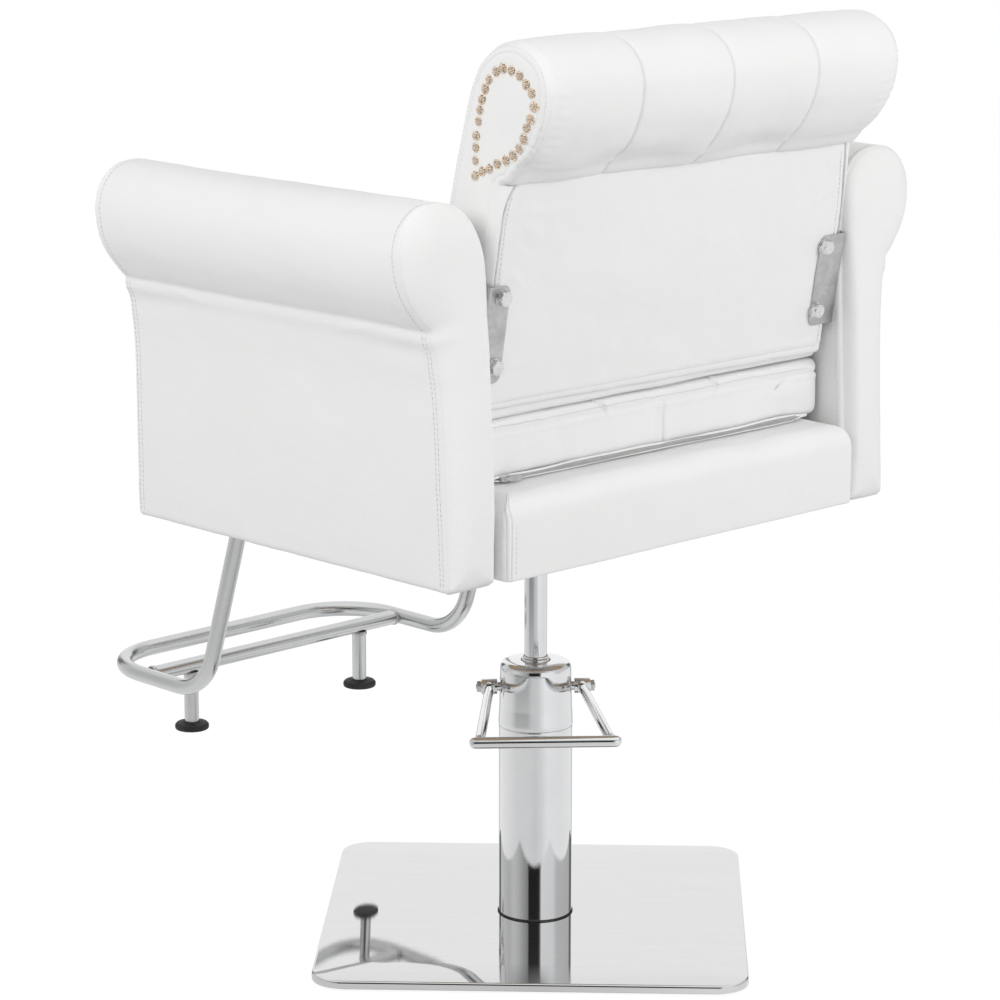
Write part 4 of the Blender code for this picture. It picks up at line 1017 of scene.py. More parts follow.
# Folds as for ridges(), x across the panel and y up it, then those that start at its foot.
PANEL_FOLDS = [
    (0.243, 0.078, 0.205, 0.06, 0.0035, 0.0011), (0.24, 0.062, 0.212, 0.04, 0.0035, -0.0009),
    (0.235, 0.09, 0.19, 0.086, 0.0032, 0.0009), (-0.244, 0.07, -0.21, 0.052, 0.0035, 0.001),
    (0.247, 0.03, 0.225, 0.006, 0.004, 0.001), (-0.246, -0.08, -0.222, -0.06, 0.0036, 0.0008),
    (0.246, -0.085, 0.215, -0.07, 0.0036, 0.0009)]
FOOT_FOLDS = [(0.1, 0.085, 0.03, 0.0007), (-0.05, -0.04, 0.026, 0.0006),
              (-0.16, -0.17, 0.028, 0.0006)]    # x at the foot, x at the top, top, height


def edge_at(sign, up):
    """Half width of the outside panel at a height."""
    amount, start, run, power = PANEL_TAPER[sign]
    return PANEL_HI[0] - amount * np.clip((up - start) / run, 0, 1.15) ** power


def panel_low(x):
    return PANEL_BASE - 0.0026 + 0.0079 * x


def panel_sewn(x):
    return PANEL_BASE + 0.007 + 0.0033 * x


def make_panel():
    half, top = PANEL_HI[0], PANEL_TOP + 0.0045
    high, low = 0.004, 0.006                     # corner radii
    corners = [(half - high, top - high, high, 0), (-half + high, top - high, high, 90),
               (-half + low, panel_low(-half) + low, low, 180),
               (half - low, panel_low(half) + low, low, 270)]
    loop, *_ = outline(joined(corner_arcs(corners, 6)), 0.003)
    normal = outward(loop)
    loop = loop + normal * (0.0004 * wavy(loop, 41, 0.09) - 0.0004)[:, None]
    for sign in (1, -1):
        on = sign * loop[:, 0] > 0
        loop[on, 0] *= edge_at(sign, loop[on, 1]) / half
    foot = panel_low(0.0)
    folds = PANEL_FOLDS + [(x0, foot + 0.004, x1, foot + rise, 0.004, tall)
                           for x0, x1, rise, tall in FOOT_FOLDS]

    def face(dist, nearest, q):
        x, up = q.T
        s = np.clip(dist / 0.006, 0, 1)
        tall = -0.003 + 0.003 * (1 - (1 - s) ** 2.2) ** 0.6
        lined = step_up(top - 0.01 - up, 0, 0.015)
        for off in (up - panel_sewn(x), edge_at(1, up) - 0.0035 - x,
                    edge_at(-1, up) - 0.008 + x):
            tall -= lined * 0.0008 * bell(off, 0.0011)
            tall += lined * 0.0005 * bell(off - 0.0042, 0.0028)
        inner = 1 - np.exp(-np.maximum(dist - 0.007, 0) / 0.028)
        tall += 0.001 * inner + 0.0009 * wavy(q, 43, 0.17) * inner + 0.0002 * wavy(q, 44, 0.03)
        return tall + ridges(x, up, folds)

    outer = sheet(loop, face, lambda q, h: on_back(q[:, 0], h, q[:, 1]))
    wall = []
    for depth, inset in ((-0.003, 0), (-0.004, 0), (-0.0048, 0.0002), (-0.0054, 0.0006),
                         (-0.0058, 0.0014)):
        drawn = loop - normal * inset
        wall.append(on_back(drawn[:, 0], depth, drawn[:, 1]))
    ob = piece("outside_back_panel", merge([outer, grid(wall, ends=(-1,))]), LEATHER,
               weld=3e-5, replaces="back_panel")
    x = np.linspace(-half + 0.01, half - 0.005, 60)
    paths = [on_back(x, 0, panel_sewn(x))]
    for sign, inset in ((1, 0.0035), (-1, 0.008)):
        up = np.linspace(panel_sewn(sign * half) + 0.002, top - 0.014, 40)
        paths.append(on_back(sign * (edge_at(sign, up) - inset), 0, up))
    stitches("panel_stitching", paths, ob, radius=0.00036, proud=0.0003)


make_panel()


def make_return(side, sign):
    """The body's corner beside the outside panel, folded round to leave a thin dark gap."""
    turn = np.linspace(0, pi / 2, 9)
    far = BACK_HALF + 0.0003
    depth = np.concatenate([[-0.0074, -0.0024], -0.0012 - 0.0153 * (1 - np.cos(turn)),
                            [-0.0175, -0.012]])
    rows = []
    for up in np.arange(-0.03, PANEL_TOP + 0.001, 0.004):
        near = edge_at(sign, up) + 0.0013 + 0.0002 * sin(up * 46 + sign)
        x = np.concatenate([[near, near], near + 0.0006 + (far - near - 0.0006) * np.sin(turn),
                            [far - 0.003, near + 0.003]])
        rows.append(on_back(sign * x, depth, up))
    piece(f"back_return_{side}", grid(rows, ends=BOTH), LEATHER, sharp=70)


for side, sign in SIDES:
    make_return(side, sign)


# ------------------------------------------------------------------ nails
# Nail centres round the edge of the roll's end: (y, z).
NAIL_YZ = [
    (0.1881, 0.9063), (0.1881, 0.9205), (0.1889, 0.9336), (0.1904, 0.9468), (0.1926, 0.9601),
    (0.1956, 0.9723), (0.1978, 0.9835), (0.2022, 0.9938), (0.2087, 1.0033), (0.2181, 1.0119),
    (0.2289, 1.0167), (0.2403, 1.0145), (0.2516, 1.01), (0.2616, 1.0023), (0.27, 0.9941),
    (0.2736, 0.9816), (0.2687, 0.9694), (0.263, 0.9591), (0.2574, 0.9487), (0.2502, 0.9381),
    (0.2417, 0.9304), (0.2316, 0.9245), (0.2201, 0.9194), (0.2085, 0.9153), (0.1983, 0.9113)]
NAIL_RADIUS = 0.0056
NAIL_RINGS = 11


def make_nails(side, sign):
    """Six-petalled domed nails, each a little tilted and turned."""
    rng = np.random.RandomState(5 if sign > 0 else 6)
    tree = tree_of(BACK)
    angle = angles(40)
    shapes = []
    for y, z in NAIL_YZ:
        hit, normal, _, _ = tree.ray_cast(Vector((sign * 0.35, y, z)), Vector((-sign, 0, 0)))
        # A ray that misses the cover leaves its nail on the pad's side.
        base = np.array(hit if hit is not None else (sign * BACK_HALF, y, z))
        normal = np.array(normal if normal is not None else (sign, 0, 0))
        normal = unit(normal + rng.normal(size=3) * 0.13)
        across = unit(np.cross(normal, (0, 0, 1.0)))
        up = np.cross(normal, across)
        radius = NAIL_RADIUS * rng.uniform(0.94, 1.05)
        turn = angle + rng.uniform(0, 6.28)
        rows = []
        for j in range(NAIL_RINGS + 1):
            q = j / NAIL_RINGS
            dome = 0.0031 * sqrt(1 - (q * 0.93) ** 2) - 0.001
            petals = 0.00075 * np.cos(6 * turn) * sin(pi * min(1, max(0, (q - 0.3) / 0.62)))
            grooves = (-0.00055 * exp(-((q - 0.4) / 0.08) ** 2)
                       - 0.00045 * exp(-((q - 0.88) / 0.06) ** 2))
            tall = dome + petals + grooves + 0.0003 * exp(-(q / 0.16) ** 2)
            edge = 1 + 0.035 * np.cos(16 * turn) * (q > 0.9)
            rows.append(circle(base + normal * tall[:, None], across, up,
                               max(radius * q, 1e-6) * edge, angle))
        for depth, reach in ((0.0006, radius * 0.97), (0.0009, 1e-6)):
            rows.append(circle(base - normal * depth, across, up, reach, angle))
        shapes.append(grid(rows))
    piece(f"decorative_nails_{side}", merge(shapes), NAIL, slot="antique_nails", weld=2e-6,
          replaces=f"nail_trim_{side}")


for side, sign in SIDES:
    make_nails(side, sign)


# ------------------------------------------------------------------ brackets and their bolts
BRACKET_DATUM = 0.7808                           # height that heights up the back start from
BRACKET_LOW, BRACKET_HIGH = [(z - BRACKET_DATUM) / LEAN_COS for z in (0.6916, 0.7946)]
BRACKET_CORNER = 0.009
BOLT_X = {"left": 0.2565, "right": 0.239}
BOLTS = (("low", 0.7081, 0.35), ("high", 0.7808, 1.1))    # name, height, turn of the hexagon
BOLT_ACROSS, BOLT_TALL, WASHER, WASHER_TALL = 0.015, 0.007, 0.0088, 0.0012


def make_bolt(name, at, spin, node):
    axis = np.array([0, LEAN_COS, -LEAN_SIN])
    side = np.array([cos(spin), 0.0, sin(spin)])
    side = unit(side - axis * (side @ axis))
    up = np.cross(axis, side)
    turn = angles(HEX_COUNT)
    head = [circle(at + axis * (height + WASHER_TALL), side, up, radius, turn)
            for radius, height in hex_head(BOLT_ACROSS, BOLT_TALL)]
    washer = [circle(at + axis * height, side, up, radius, turn) for radius, height in
              ((1e-6, 0), (WASHER - 0.0003, 0), (WASHER, 0.0003), (WASHER, 0.0009),
               (WASHER - 0.0003, WASHER_TALL), (1e-6, WASHER_TALL))]
    piece(name, merge([grid(head), grid(washer)]), BRIGHT_ZINC, slot="zinc_plated", weld=2e-6,
          sharp=25, replaces=node)


def make_bracket(side, sign):
    """An angle strip: a flat behind the back and a flange forward along its side."""
    node = f"back_bracket_{side}"
    ends = sorted(abs(corner[0]) for corner in box(node))
    near, far = ends
    low, high, radius = BRACKET_LOW, BRACKET_HIGH, BRACKET_CORNER
    fold = far - 0.003
    runs = [arc(near + radius, high - radius, radius, 180, 90, 6),
            [(near + radius, high), (fold, high)], [(fold, high), (fold, low)],
            [(fold, low), (near + radius, low)],
            arc(near + radius, low + radius, radius, 270, 180, 6),
            [(near, low + radius), (near, high - radius)]]
    loop, *_ = outline(runs, 0.002)
    flat = plate_solid(loop, 0.0007, 0.0029, lambda q, d: on_back(sign * q[:, 0], d, q[:, 1]))
    # the bend's section: (x, depth)
    section = np.array([(far - 0.005, 0.0027), *arc(far - 0.0032, -0.0003, 0.003, 90, 0, 6),
                        (far - 0.0002, -0.06), (far - 0.0023, -0.06),
                        *arc(far - 0.0032, -0.0003, 0.0009, 0, 90, 4), (far - 0.005, 0.0006)])
    up = np.array([low, low + 0.0005, low + 0.01, high - 0.01, high - 0.0005, high])
    flange = grid(on_back(sign * section[:, 0], section[:, 1], up[:, None]), ends=BOTH)
    piece(f"bracket_{side}", merge([flat, flange]), GALV, slot="zinc_plated", weld=2e-6,
          sharp=35, replaces=node)
    for end, z, spin in BOLTS:
        at = on_back(sign * BOLT_X[side], 0.0029, (z + 0.002 - BRACKET_DATUM) / LEAN_COS)
        make_bolt(f"bracket_bolt_head_{end}_{side}", at, spin, f"bracket_bolt_{end}_{side}")


for side, sign in SIDES:
    make_bracket(side, sign)


# ------------------------------------------------------------------ apron
APRON_LO, APRON_HI = box("apron")
APRON_CORNER = 0.0095
APRON_ROUND = 0.0235    # radius of its top edge


def make_apron():
    """The upholstered seat base, hollow underneath."""
    half, rear, top = APRON_HI
    front, base = APRON_LO[1], APRON_LO[2] - 0.0006
    arcs = corner_arcs(box_corners(-half, half, front, rear, APRON_CORNER), 8)
    # Runs 0, 2, 4 and 6 are the corners: left rear, right rear, right front, left front.
    loop, tag, along, _ = outline(joined(arcs), [0.0006, 0.0025] * 4)
    normal = outward(loop)
    arc_length = pi / 2 * APRON_CORNER
    profile = [(0.024, base + 0.0008), (0.015, base + 0.0003), (0.006, base),
               (0.0018, base - 0.0002), (0.0006, base + 0.0003), (0.0001, base + 0.0014),
               (0, base + 0.004)]                # (inset, z)
    profile += [(0, z) for z in np.arange(base + 0.0075, top - 0.026, 0.0035)]
    for i in range(1, 13):
        turn = radians(90 * i / 12)
        profile.append((APRON_ROUND * (1 - cos(turn)),
                        top - APRON_ROUND + APRON_ROUND * sin(turn)))
    inset, z = np.array(profile).T[..., None]
    wall = step_up(z, base - 0.001, base + 0.003) * step_up(-inset, -0.0245, -0.012)
    lift = np.zeros((len(profile), len(loop)))
    # the left rear corner's welt: two seam lines with a raised strip between them
    first = arc_length * 0.42
    second = first + 0.0054
    welt = along + 0.006 * step_up(z, top - 0.034, top - 0.004) ** 2
    lift -= wall * (0.0020 * bell(welt - first, 0.0009) + 0.0017 * bell(welt - second, 0.0008))
    lift += wall * 0.0008 * bell(welt - (first + second) / 2, 0.0021)
    lift -= wall * 0.0005 * bell(welt - second - 0.0048, 0.001)
    # single seams at the other corners
    seam = along[tag == 2].min() + arc_length * 0.72
    lift -= wall * 0.0015 * bell(along - seam, 0.0012)
    lift -= wall * 0.0005 * bell(along - seam + 0.0055, 0.0011)
    for k in (4, 6):
        lift -= wall * 0.0015 * bell(along - along[tag == k].min() - arc_length / 2, 0.0012)
    mid, deep = (rear + front) / 2, (rear - front) / 2

    def drawn_in(width):
        """The outline drawn in; past the corner's radius the whole outline is scaled."""
        cut = np.minimum(width, APRON_CORNER - 0.0015)
        return ((loop[:, 0] - normal[:, 0] * cut) * (half - width) / (half - cut),
                mid + (loop[:, 1] - normal[:, 1] * cut - mid) * (deep - width) / (deep - cut))

    P = xyz(*drawn_in(inset), z)
    soft = step_up(-inset, -0.025, -0.0235)
    lift += soft * (0.0009 * wavy(P, 51, 0.22) + 0.0003 * wavy(P, 52, 0.06))
    lift += wall * 0.0010 * np.sin(np.pi * np.clip((z - base) / (top - base), 0, 1))
    P[..., 0] += normal[:, 0] * lift
    P[..., 1] += normal[:, 1] * lift
    P[..., 2] += (soft * 0.0012 * wavy(P[..., :2], 53, 0.14) * step_up(z, top - 0.03, top))
    P[..., 2] = np.minimum(P[..., 2], top + 0.0004)
    deck_loop, deck_z = P[-1][:, :2], P[-1][:, 2]

    def deck(q, h):
        dist, k = edge_distance(q, deck_loop)
        part = np.clip(dist / 0.012, 0, 1)
        level = top - 0.0001 - 0.0003 * (1 + wavy(q, 55, 0.12))
        return np.column_stack([q, deck_z[k] * (1 - part) + level * part])

    lid = sheet(deck_loop, lambda dist, k, q: np.zeros(len(q)), deck, 0.008,
                (0.003, 0.007, 0.012))
    # snap the sheet's rim onto the wall's last row
    dist, _ = edge_distance(lid[0][:, :2], deck_loop)
    for i in np.where(dist < 2e-6)[0]:
        j = int(np.argmin(np.linalg.norm(deck_loop - lid[0][i, :2], axis=1)))
        lid[0][i] = P[-1][j]
    inner = drawn_in(0.0259)
    hollow = grid([P[0], xyz(*inner, base + 0.0016), xyz(*inner, top - 0.0016)], ends=(-1,))
    ob = piece("apron_upholstery", merge([grid(P), lid, hollow]), LEATHER, weld=1e-5,
               replaces="apron")
    z = np.linspace(base + 0.006, top - 0.03, 40)
    beside = [np.argmin(np.abs(along - place)) for place in (second + 0.0048, seam - 0.0055)]
    stitches("apron_stitching", [xyz(*loop[i], z) for i in beside], ob, radius=0.00038)


make_apron()


# ------------------------------------------------------------------ seat cushion
CUSHION_LO, CUSHION_HI = box("seat_cushion")
TAPE_LO, TAPE_HI = box("zipper_tape")
SWELL_LIMIT = 0.01    # how far a point of the cloth may travel
CLOTH_FRAMES = 20
CLOTH = dict(quality=6, mass=0.25, tension_stiffness=18.0, compression_stiffness=18.0,
             shear_stiffness=6.0, bending_stiffness=0.6, use_pressure=True,
             uniform_pressure_force=4.0)
CUSHION_TURN = 0.022    # reach of the rear corners' squaring
# Pleats at the rear: x and z at the top edge, x and z at the seam.
PLEATS = ((0.0864, 0.6474, 0.0701, 0.6335), (-0.0953, 0.6447, -0.1042, 0.6354))
# Soft waves across the rear: x, width, height.
REAR_WAVES = ((0.19, 0.018, 0.0012), (0.13, 0.012, -0.001), (0.05, 0.02, 0.001),
              (-0.05, 0.015, -0.0009), (-0.15, 0.02, 0.0011), (-0.21, 0.012, -0.0009))
# Folded leather beside the zip: name, z above its mouth, wave height and phase, height, out.
FLAPS = (("zip_flap_upper", 0.0019, 0.0008, 0.3, 0.0026, 0.0),
         ("zip_flap_lower", -0.0037, 0.0003, 1.7, 0.0016, 0.0003))


def inflate(shape):
    """Swells a closed shape as cloth under pressure and returns the resulting mesh."""
    mesh = bpy.data.meshes.new("blank")
    mesh.from_pydata([tuple(p) for p in shape[0]], [],
                     [tuple(int(i) for i in face) for face in shape[1]])
    ob = add_object("blank", mesh)
    remesh = ob.modifiers.new("remesh", "REMESH")
    remesh.mode = "VOXEL"
    remesh.voxel_size = 0.005
    blank = evaluated_copy(ob, "cloth_start")
    drop(ob)
    ob = add_object("cloth", blank)
    start = coords(blank)
    cloth = ob.modifiers.new("cloth", "CLOTH")
    for key, value in CLOTH.items():
        setattr(cloth.settings, key, value)
    cloth.settings.effector_weights.gravity = 0.0
    cloth.collision_settings.use_collision = False
    cloth.point_cache.frame_start = SCENE.frame_start = 1
    cloth.point_cache.frame_end = SCENE.frame_end = CLOTH_FRAMES
    for frame_number in range(1, CLOTH_FRAMES + 1):
        SCENE.frame_set(frame_number)
    done = evaluated_copy(ob, "cloth_done")
    end = coords(done)
    SCENE.frame_set(1)
    drop(ob)
    move = end - start
    travel = np.linalg.norm(move, axis=1)
    move *= np.minimum(1.0, SWELL_LIMIT / np.maximum(travel, 1e-9))[:, None]
    done.vertices.foreach_set("co", (start + move).astype(np.float32).ravel())
    done.update()
    return done


def refine(mesh):
    ob = add_object("refine", mesh)
    smooth = ob.modifiers.new("sub", "SUBSURF")
    smooth.levels = smooth.render_levels = 1
    out = evaluated_copy(ob, "refined")
    drop(ob)
    return out


def rounded_slab(x0, x1, y0, y1, radius, layers):
    """A closed slab from (inset, z) layers."""
    rows = []
    for inset, z in layers:
        corners = box_corners(x0 + inset, x1 - inset, y0 + inset, y1 - inset,
                              max(radius - inset, 0.004))
        rows.append([(x, y, z) for bend in corner_arcs(corners, 8) for x, y in bend])
    return grid(rows, ends=BOTH)


def cushion_seam(x):
    """Height of the seam round the cushion's side."""
    return (CUSHION_HI[2] - 0.03 - 0.0006 * np.sin(np.pi * (x / CUSHION_HI[0] + 1) / 2)
            + 0.0005 * np.sin(x * 31))


def cushion_relief(points, normals):
    """Seams, pleats and waves, as heights along the normals."""
    rear_y, base, top = CUSHION_HI[1], CUSHION_LO[2], CUSHION_HI[2]
    x, y, z = points.T
    facing = normals[:, 2]
    side = 1 - step_up(np.abs(facing), 0.55, 0.9)
    seam = cushion_seam(x)
    lift = np.zeros(len(points))
    lift -= 0.0016 * bell(z - seam, 0.0016) * side
    lift += 0.0007 * bell(z - seam + 0.0045, 0.003) * side
    lift += 0.0009 * bell(z - seam - 0.006, 0.004) * side
    # the upright seam at the rear, near the middle
    rear = step_up(y, rear_y - 0.03, rear_y - 0.012) * side
    middle = -0.0212 + 0.0014 * np.sin((z - base) * 60)
    lift -= rear * 0.0026 * bell(x - middle, 0.0012) * step_up(seam + 0.001 - z, 0, 0.003)
    lift += (rear * 0.0010 * bell(np.abs(x - middle) - 0.006, 0.004)
             * step_up(seam - z, 0, 0.004))
    for high_x, high_z, low_x, low_z in PLEATS:
        rise = np.clip((z - low_z) / (high_z - low_z), 0, 1)
        bend = low_x + (high_x - low_x) * rise ** 1.5
        on = (step_up(z, low_z - 0.003, low_z + 0.0005)
              * step_up(y, rear_y - 0.03, rear_y - 0.014))
        lift -= on * 0.0022 * bell(x - bend, 0.0014)
        lift += on * 0.0012 * bell(x - bend + 0.005, 0.0036)
    for place, width, height in REAR_WAVES:
        lift += rear * height * bell(x - place - (z - base) * 0.25, width)
    lift += side * 0.0006 * wavy(points, 61, 0.10, 3)
    lift += (1 - side) * (facing > 0) * 0.0014 * wavy(points, 62, 0.16, 3)
    # sewn lines across the top, each in a soft dip
    on = ((facing > 0.3) * step_up(z, top - 0.03, top - 0.024)
          * step_up(rear_y - 0.02 - y, 0, 0.03))
    for place in SEAMS:
        lift -= on * (0.0022 * bell(x - place, 0.003) + 0.0016 * bell(x - place, 0.016))
    return lift


def make_cushion():
    """A cloth simulation, then its seams."""
    half, rear, top = CUSHION_HI
    front, base = CUSHION_LO[1:]
    layers = [(0.006, base + 0.001), (0.002, base + 0.0035), (0, base + 0.008),
              (0, top - 0.034), (0.003, top - 0.027), (0.012, top - 0.021),
              (0.05, top - 0.015), (0.12, top - 0.011)]
    margin = 0.0045
    mesh = refine(inflate(rounded_slab(-half + margin, half - margin, front + margin,
                                       rear - 0.0035, 0.013, layers)))
    # a second, local refinement where the rear seams run
    bm = bmesh.new()
    bm.from_mesh(mesh)
    near = [e for e in bm.edges
            if all(v.co.y > rear - 0.03 and v.co.z > base + 0.001 for v in e.verts)]
    bmesh.ops.subdivide_edges(bm, edges=near, cuts=1, use_grid_fill=True)
    bmesh.ops.triangulate(bm, faces=[face for face in bm.faces if len(face.verts) > 4])
    bm.normal_update()
    P = np.array([v.co[:] for v in bm.verts])
    normals = np.array([v.normal[:] for v in bm.verts])
    # the cloth draws in a little as it swells, so its plan is brought back to size
    wide = half + 0.001
    P[:, 0] *= wide / np.abs(P[:, 0]).max()
    low, high = P[:, 1].min(), P[:, 1].max()
    P[:, 1] = front + (P[:, 1] - low) * (rear - front) / (high - low)
    # square the rear corners
    turn = CUSHION_TURN
    across = np.clip((np.abs(P[:, 0]) - wide + turn) / turn, 0, 1)
    behind = np.clip((P[:, 1] - rear + turn) / turn, 0, 1)
    P[:, 0] += np.sign(P[:, 0]) * turn * 0.45 * across * behind * (1 - across ** 2)
    P[:, 1] += turn * 0.45 * across * behind * (1 - behind ** 2)
    # set the top's crown towards the rear
    edge = np.clip(rear - P[:, 1], 0, None)
    crown = (0.6475 - 0.0155 * (1 - np.sqrt(1 - np.clip(1 - edge / 0.012, 0, 1) ** 2))
             + 0.0045 * (1 - np.exp(-np.maximum(edge - 0.01, 0) / 0.03)))
    upper = (step_up(normals[:, 2], 0.10, 0.50) * step_up(P[:, 1], rear - 0.125, rear - 0.08)
             * (P[:, 2] > base + 0.015))
    P[:, 2] += (crown - P[:, 2]) * upper
    P = P + normals * cushion_relief(P, normals)[:, None]
    P[:, 0] = np.clip(P[:, 0], -0.2722, 0.2722)
    P[:, 1] = np.minimum(P[:, 1], rear + 0.0016)
    P[:, 2] = np.clip(P[:, 2], base + 0.0004, top + 0.004)
    for vertex, point in zip(bm.verts, P):
        vertex.co = point
    bmesh.ops.recalc_face_normals(bm, faces=bm.faces)
    cover = bpy.data.meshes.new("seat_cushion_cover")
    bm.to_mesh(cover)
    bm.free()
    ob = dress("seat_cushion_cover", cover, LEATHER, replaces="seat_cushion")
    x = np.linspace(-half + 0.016, half - 0.016, 90)
    stitches("cushion_stitching", [xyz(x, rear + 0.002, cushion_seam(x) + 0.0058)], ob,
             radius=0.00046, proud=0.00042)


def make_flaps():
    half, rear = CUSHION_HI[:2]
    mouth = (TAPE_LO[2] + TAPE_HI[2]) / 2
    x = np.arange(-half + 0.018, half - 0.014, 0.003)[:, None]
    turn = angles(16)
    thin = np.minimum(1.0, (half - 0.012 - np.abs(x)) / 0.012) ** 0.5
    for name, rise, wave, phase, height, out in FLAPS:
        off = rise + wave * np.sin(x * 24 + phase) + 0.4 * wave * np.sin(x * 61 + phase * 2)
        z = mouth + off * (1 - 0.75 * step_up(np.abs(x), 0.222, 0.246))
        y = (rear + out - 0.0006 + 0.0014 * thin * np.cos(turn)
             + 0.0003 * np.sin(x * 40 + phase))
        piece(name, grid(xyz(x, y, z + height * 0.5 * thin * np.sin(turn)), ends=BOTH), LEATHER)


make_cushion()
make_flaps()


# ------------------------------------------------------------------ zip
TAPE_SECTION = np.array([(-0.0003, -0.003), (0.0002, -0.003), (0.0004, -0.001),
                         (0.0004, 0.001), (0.0002, 0.003), (-0.0003, 0.003)])    # (y, z)


def zip_height(x):
    return (TAPE_LO[2] + TAPE_HI[2]) / 2 - 0.001 + 0.0003 * np.sin(x * 26 + 0.8)


def make_tape():
    x = np.arange(TAPE_LO[0], TAPE_HI[0], 0.002)[:, None]
    rows = xyz(x, TAPE_LO[1] + TAPE_SECTION[:, 0], zip_height(x) + TAPE_SECTION[:, 1])
    piece("zip_tape", grid(rows, ends=BOTH), TAPE, slot="zipper_tape", replaces="zipper_tape")


def make_teeth():
    teeth = []
    y = TAPE_LO[1] + 0.0003
    corners = ((-1, -1), (1, -1), (1, 1), (-1, 1))
    for i, x in enumerate(np.arange(TAPE_LO[0] + 0.004, TAPE_HI[0] - 0.004, 0.0016)):
        z = zip_height(x) + (0.0006 if i % 2 else -0.0006)
        rows = [[(x + j * wide, y + out, z + k * tall) for j, k in corners]
                for out, wide, tall in ((0, 0.00055, 0.001), (0.0005, 0.000385, 0.0008))]
        teeth.append(grid(rows, ends=BOTH))
    piece("zip_teeth", merge(teeth), ZINC, slot="zinc_plated")


def make_slider():
    low, high = box("zipper_slider")
    x, _, z = (low + high) / 2
    y = low[1]
    loop = []
    for t in np.linspace(0, 2 * np.pi, 40, endpoint=False):
        part = 1.0 if cos(t) < 0 else 0.86
        loop.append((0.006 * np.sign(cos(t)) * abs(cos(t)) ** 0.7,
                     0.0044 * part * np.sign(sin(t)) * abs(sin(t)) ** 0.75))
    loop = np.array(loop)
    shell = grid([xyz(x + loop[:, 0] * scale, y + out, z + loop[:, 1] * scale)
                  for scale, out in ((0.96, 0), (1, 0.0004), (1, 0.0019), (0.93, 0.0024),
                                     (0.5, 0.0026), (1e-4, 0.0026))], ends=(0,))
    bridge = pipe([(x + across, y + out, z) for across, out in (
        (0.0038, 0.0022), (0.003, 0.004), (0, 0.0047), (-0.003, 0.004), (-0.0038, 0.0022))],
        0.0008, 10)
    # the pull: a flat tag hanging along the tape
    tag = np.array([(-0.0105 + 0.0125 * cos(t), 0.0033 * (1 - 0.25 * cos(t)) * sin(t))
                    for t in angles(32)])
    pull = plate_solid(tag, 0.0, 0.0011, lambda q, d: xyz(
        x - 0.0005 + q[:, 0], y + 0.0037 - 0.0009 * (q[:, 0] + 0.002) / -0.02 + d,
        z - 0.0007 + q[:, 1] + 0.08 * q[:, 0]), 0.0002)
    piece("zip_slider_and_pull", merge([shell, bridge, pull]), ZINC, body="zipper_slider",
          slot="zinc_plated", weld=1e-6, sharp=40, replaces="zipper_slider")


make_tape()
make_teeth()
make_slider()


# ------------------------------------------------------------------ footrest
FOOT_LO, FOOT_HI = box("footrest_tube")
CROSS_LO, CROSS_HI = box("footrest_crossbar")
GLIDE_LO, GLIDE_HI = box("footrest_glide_left")
FOOT_R = 0.0095
FOOT_X, FOOT_Z = FOOT_HI[0] - FOOT_R, FOOT_LO[2] + FOOT_R
FOOT_FRONT, FOOT_HIGH = FOOT_LO[1] + FOOT_R, FOOT_HI[2] - FOOT_R
CROSS_Y = (CROSS_LO[1] + CROSS_HI[1]) / 2
LEG_X = (GLIDE_LO[0] + GLIDE_HI[0]) / 2


def make_footrest_frame():
    """One hollow tube: runs under the seat, slopes down and crosses the front."""
    bend_y = FOOT_FRONT + 0.2862
    low_y = bend_y - (FOOT_HIGH - FOOT_Z) * tan(radians(18.0))
    half = [((FOOT_X, FOOT_HI[1], FOOT_HIGH), 0), ((FOOT_X, bend_y, FOOT_HIGH), 0.04),
            ((FOOT_X, low_y, FOOT_Z), 0.07), ((FOOT_X, FOOT_FRONT, FOOT_Z), 0.084)]
    other = [((-x, y, z), radius) for (x, y, z), radius in reversed(half)]
    path = bent(half + other, 16, 0.012)
    outer, inner = [pipe_rows(path, radius, 28)[1] for radius in (FOOT_R, FOOT_R - 0.0015)]
    piece("footrest_frame", grid(outer + inner[::-1] + outer[:1]), SATIN, slot="chrome",
          weld=1e-6, sharp=50, replaces="footrest_tube")


def make_cross_tube():
    reach = FOOT_X - 0.0088
    bars = [pipe([(x, CROSS_Y, FOOT_Z) for x in np.linspace(-reach, reach, 60)],
                 FOOT_R - 0.0003, 28)]
    welds = []
    for sign in (1, -1):
        leg = np.linspace(GLIDE_HI[2] + 0.0004, FOOT_Z - 0.009, 14)
        bars.append(pipe([(sign * LEG_X, CROSS_Y, z) for z in leg], 0.0088, 28))
        welds.append(weld_bead((sign * LEG_X, CROSS_Y, FOOT_Z - 0.0098), (0, 0, 1), 0.0086,
                               0.0048, 1.0 + sign))
        welds.append(weld_bead((sign * (FOOT_X - 0.0098), CROSS_Y, FOOT_Z), (1, 0, 0), 0.0089,
                               0.005, 2.0 + sign))
    piece("footrest_cross_tube_and_legs", merge(bars), SATIN, slot="chrome", weld=1e-6,
          sharp=50, replaces="footrest_crossbar")
    piece("footrest_welds", merge(welds), GALV, slot="chrome", weld=1e-6)


def make_glide(side, sign):
    node = f"footrest_glide_{side}"
    base, top = [corner[2] for corner in box(node)]
    profile = [(0, base + 0.0006), (0.015, base + 0.0006), (0.0152, base), (0.0196, base),
               (0.0205, base + 0.0014), (0.0205, base + 0.005), (0.0185, base + 0.0074),
               (0.0125, top - 0.0006), (0.0118, top), (0, top)]
    piece(f"glide_{side}", lathe(soften(profile, 0.0006), 64, (sign * LEG_X, CROSS_Y)), RUBBER,
          slot="black_rubber", weld=2e-6, replaces=node)


make_footrest_frame()
make_cross_tube()
for side, sign in SIDES:
    make_glide(side, sign)


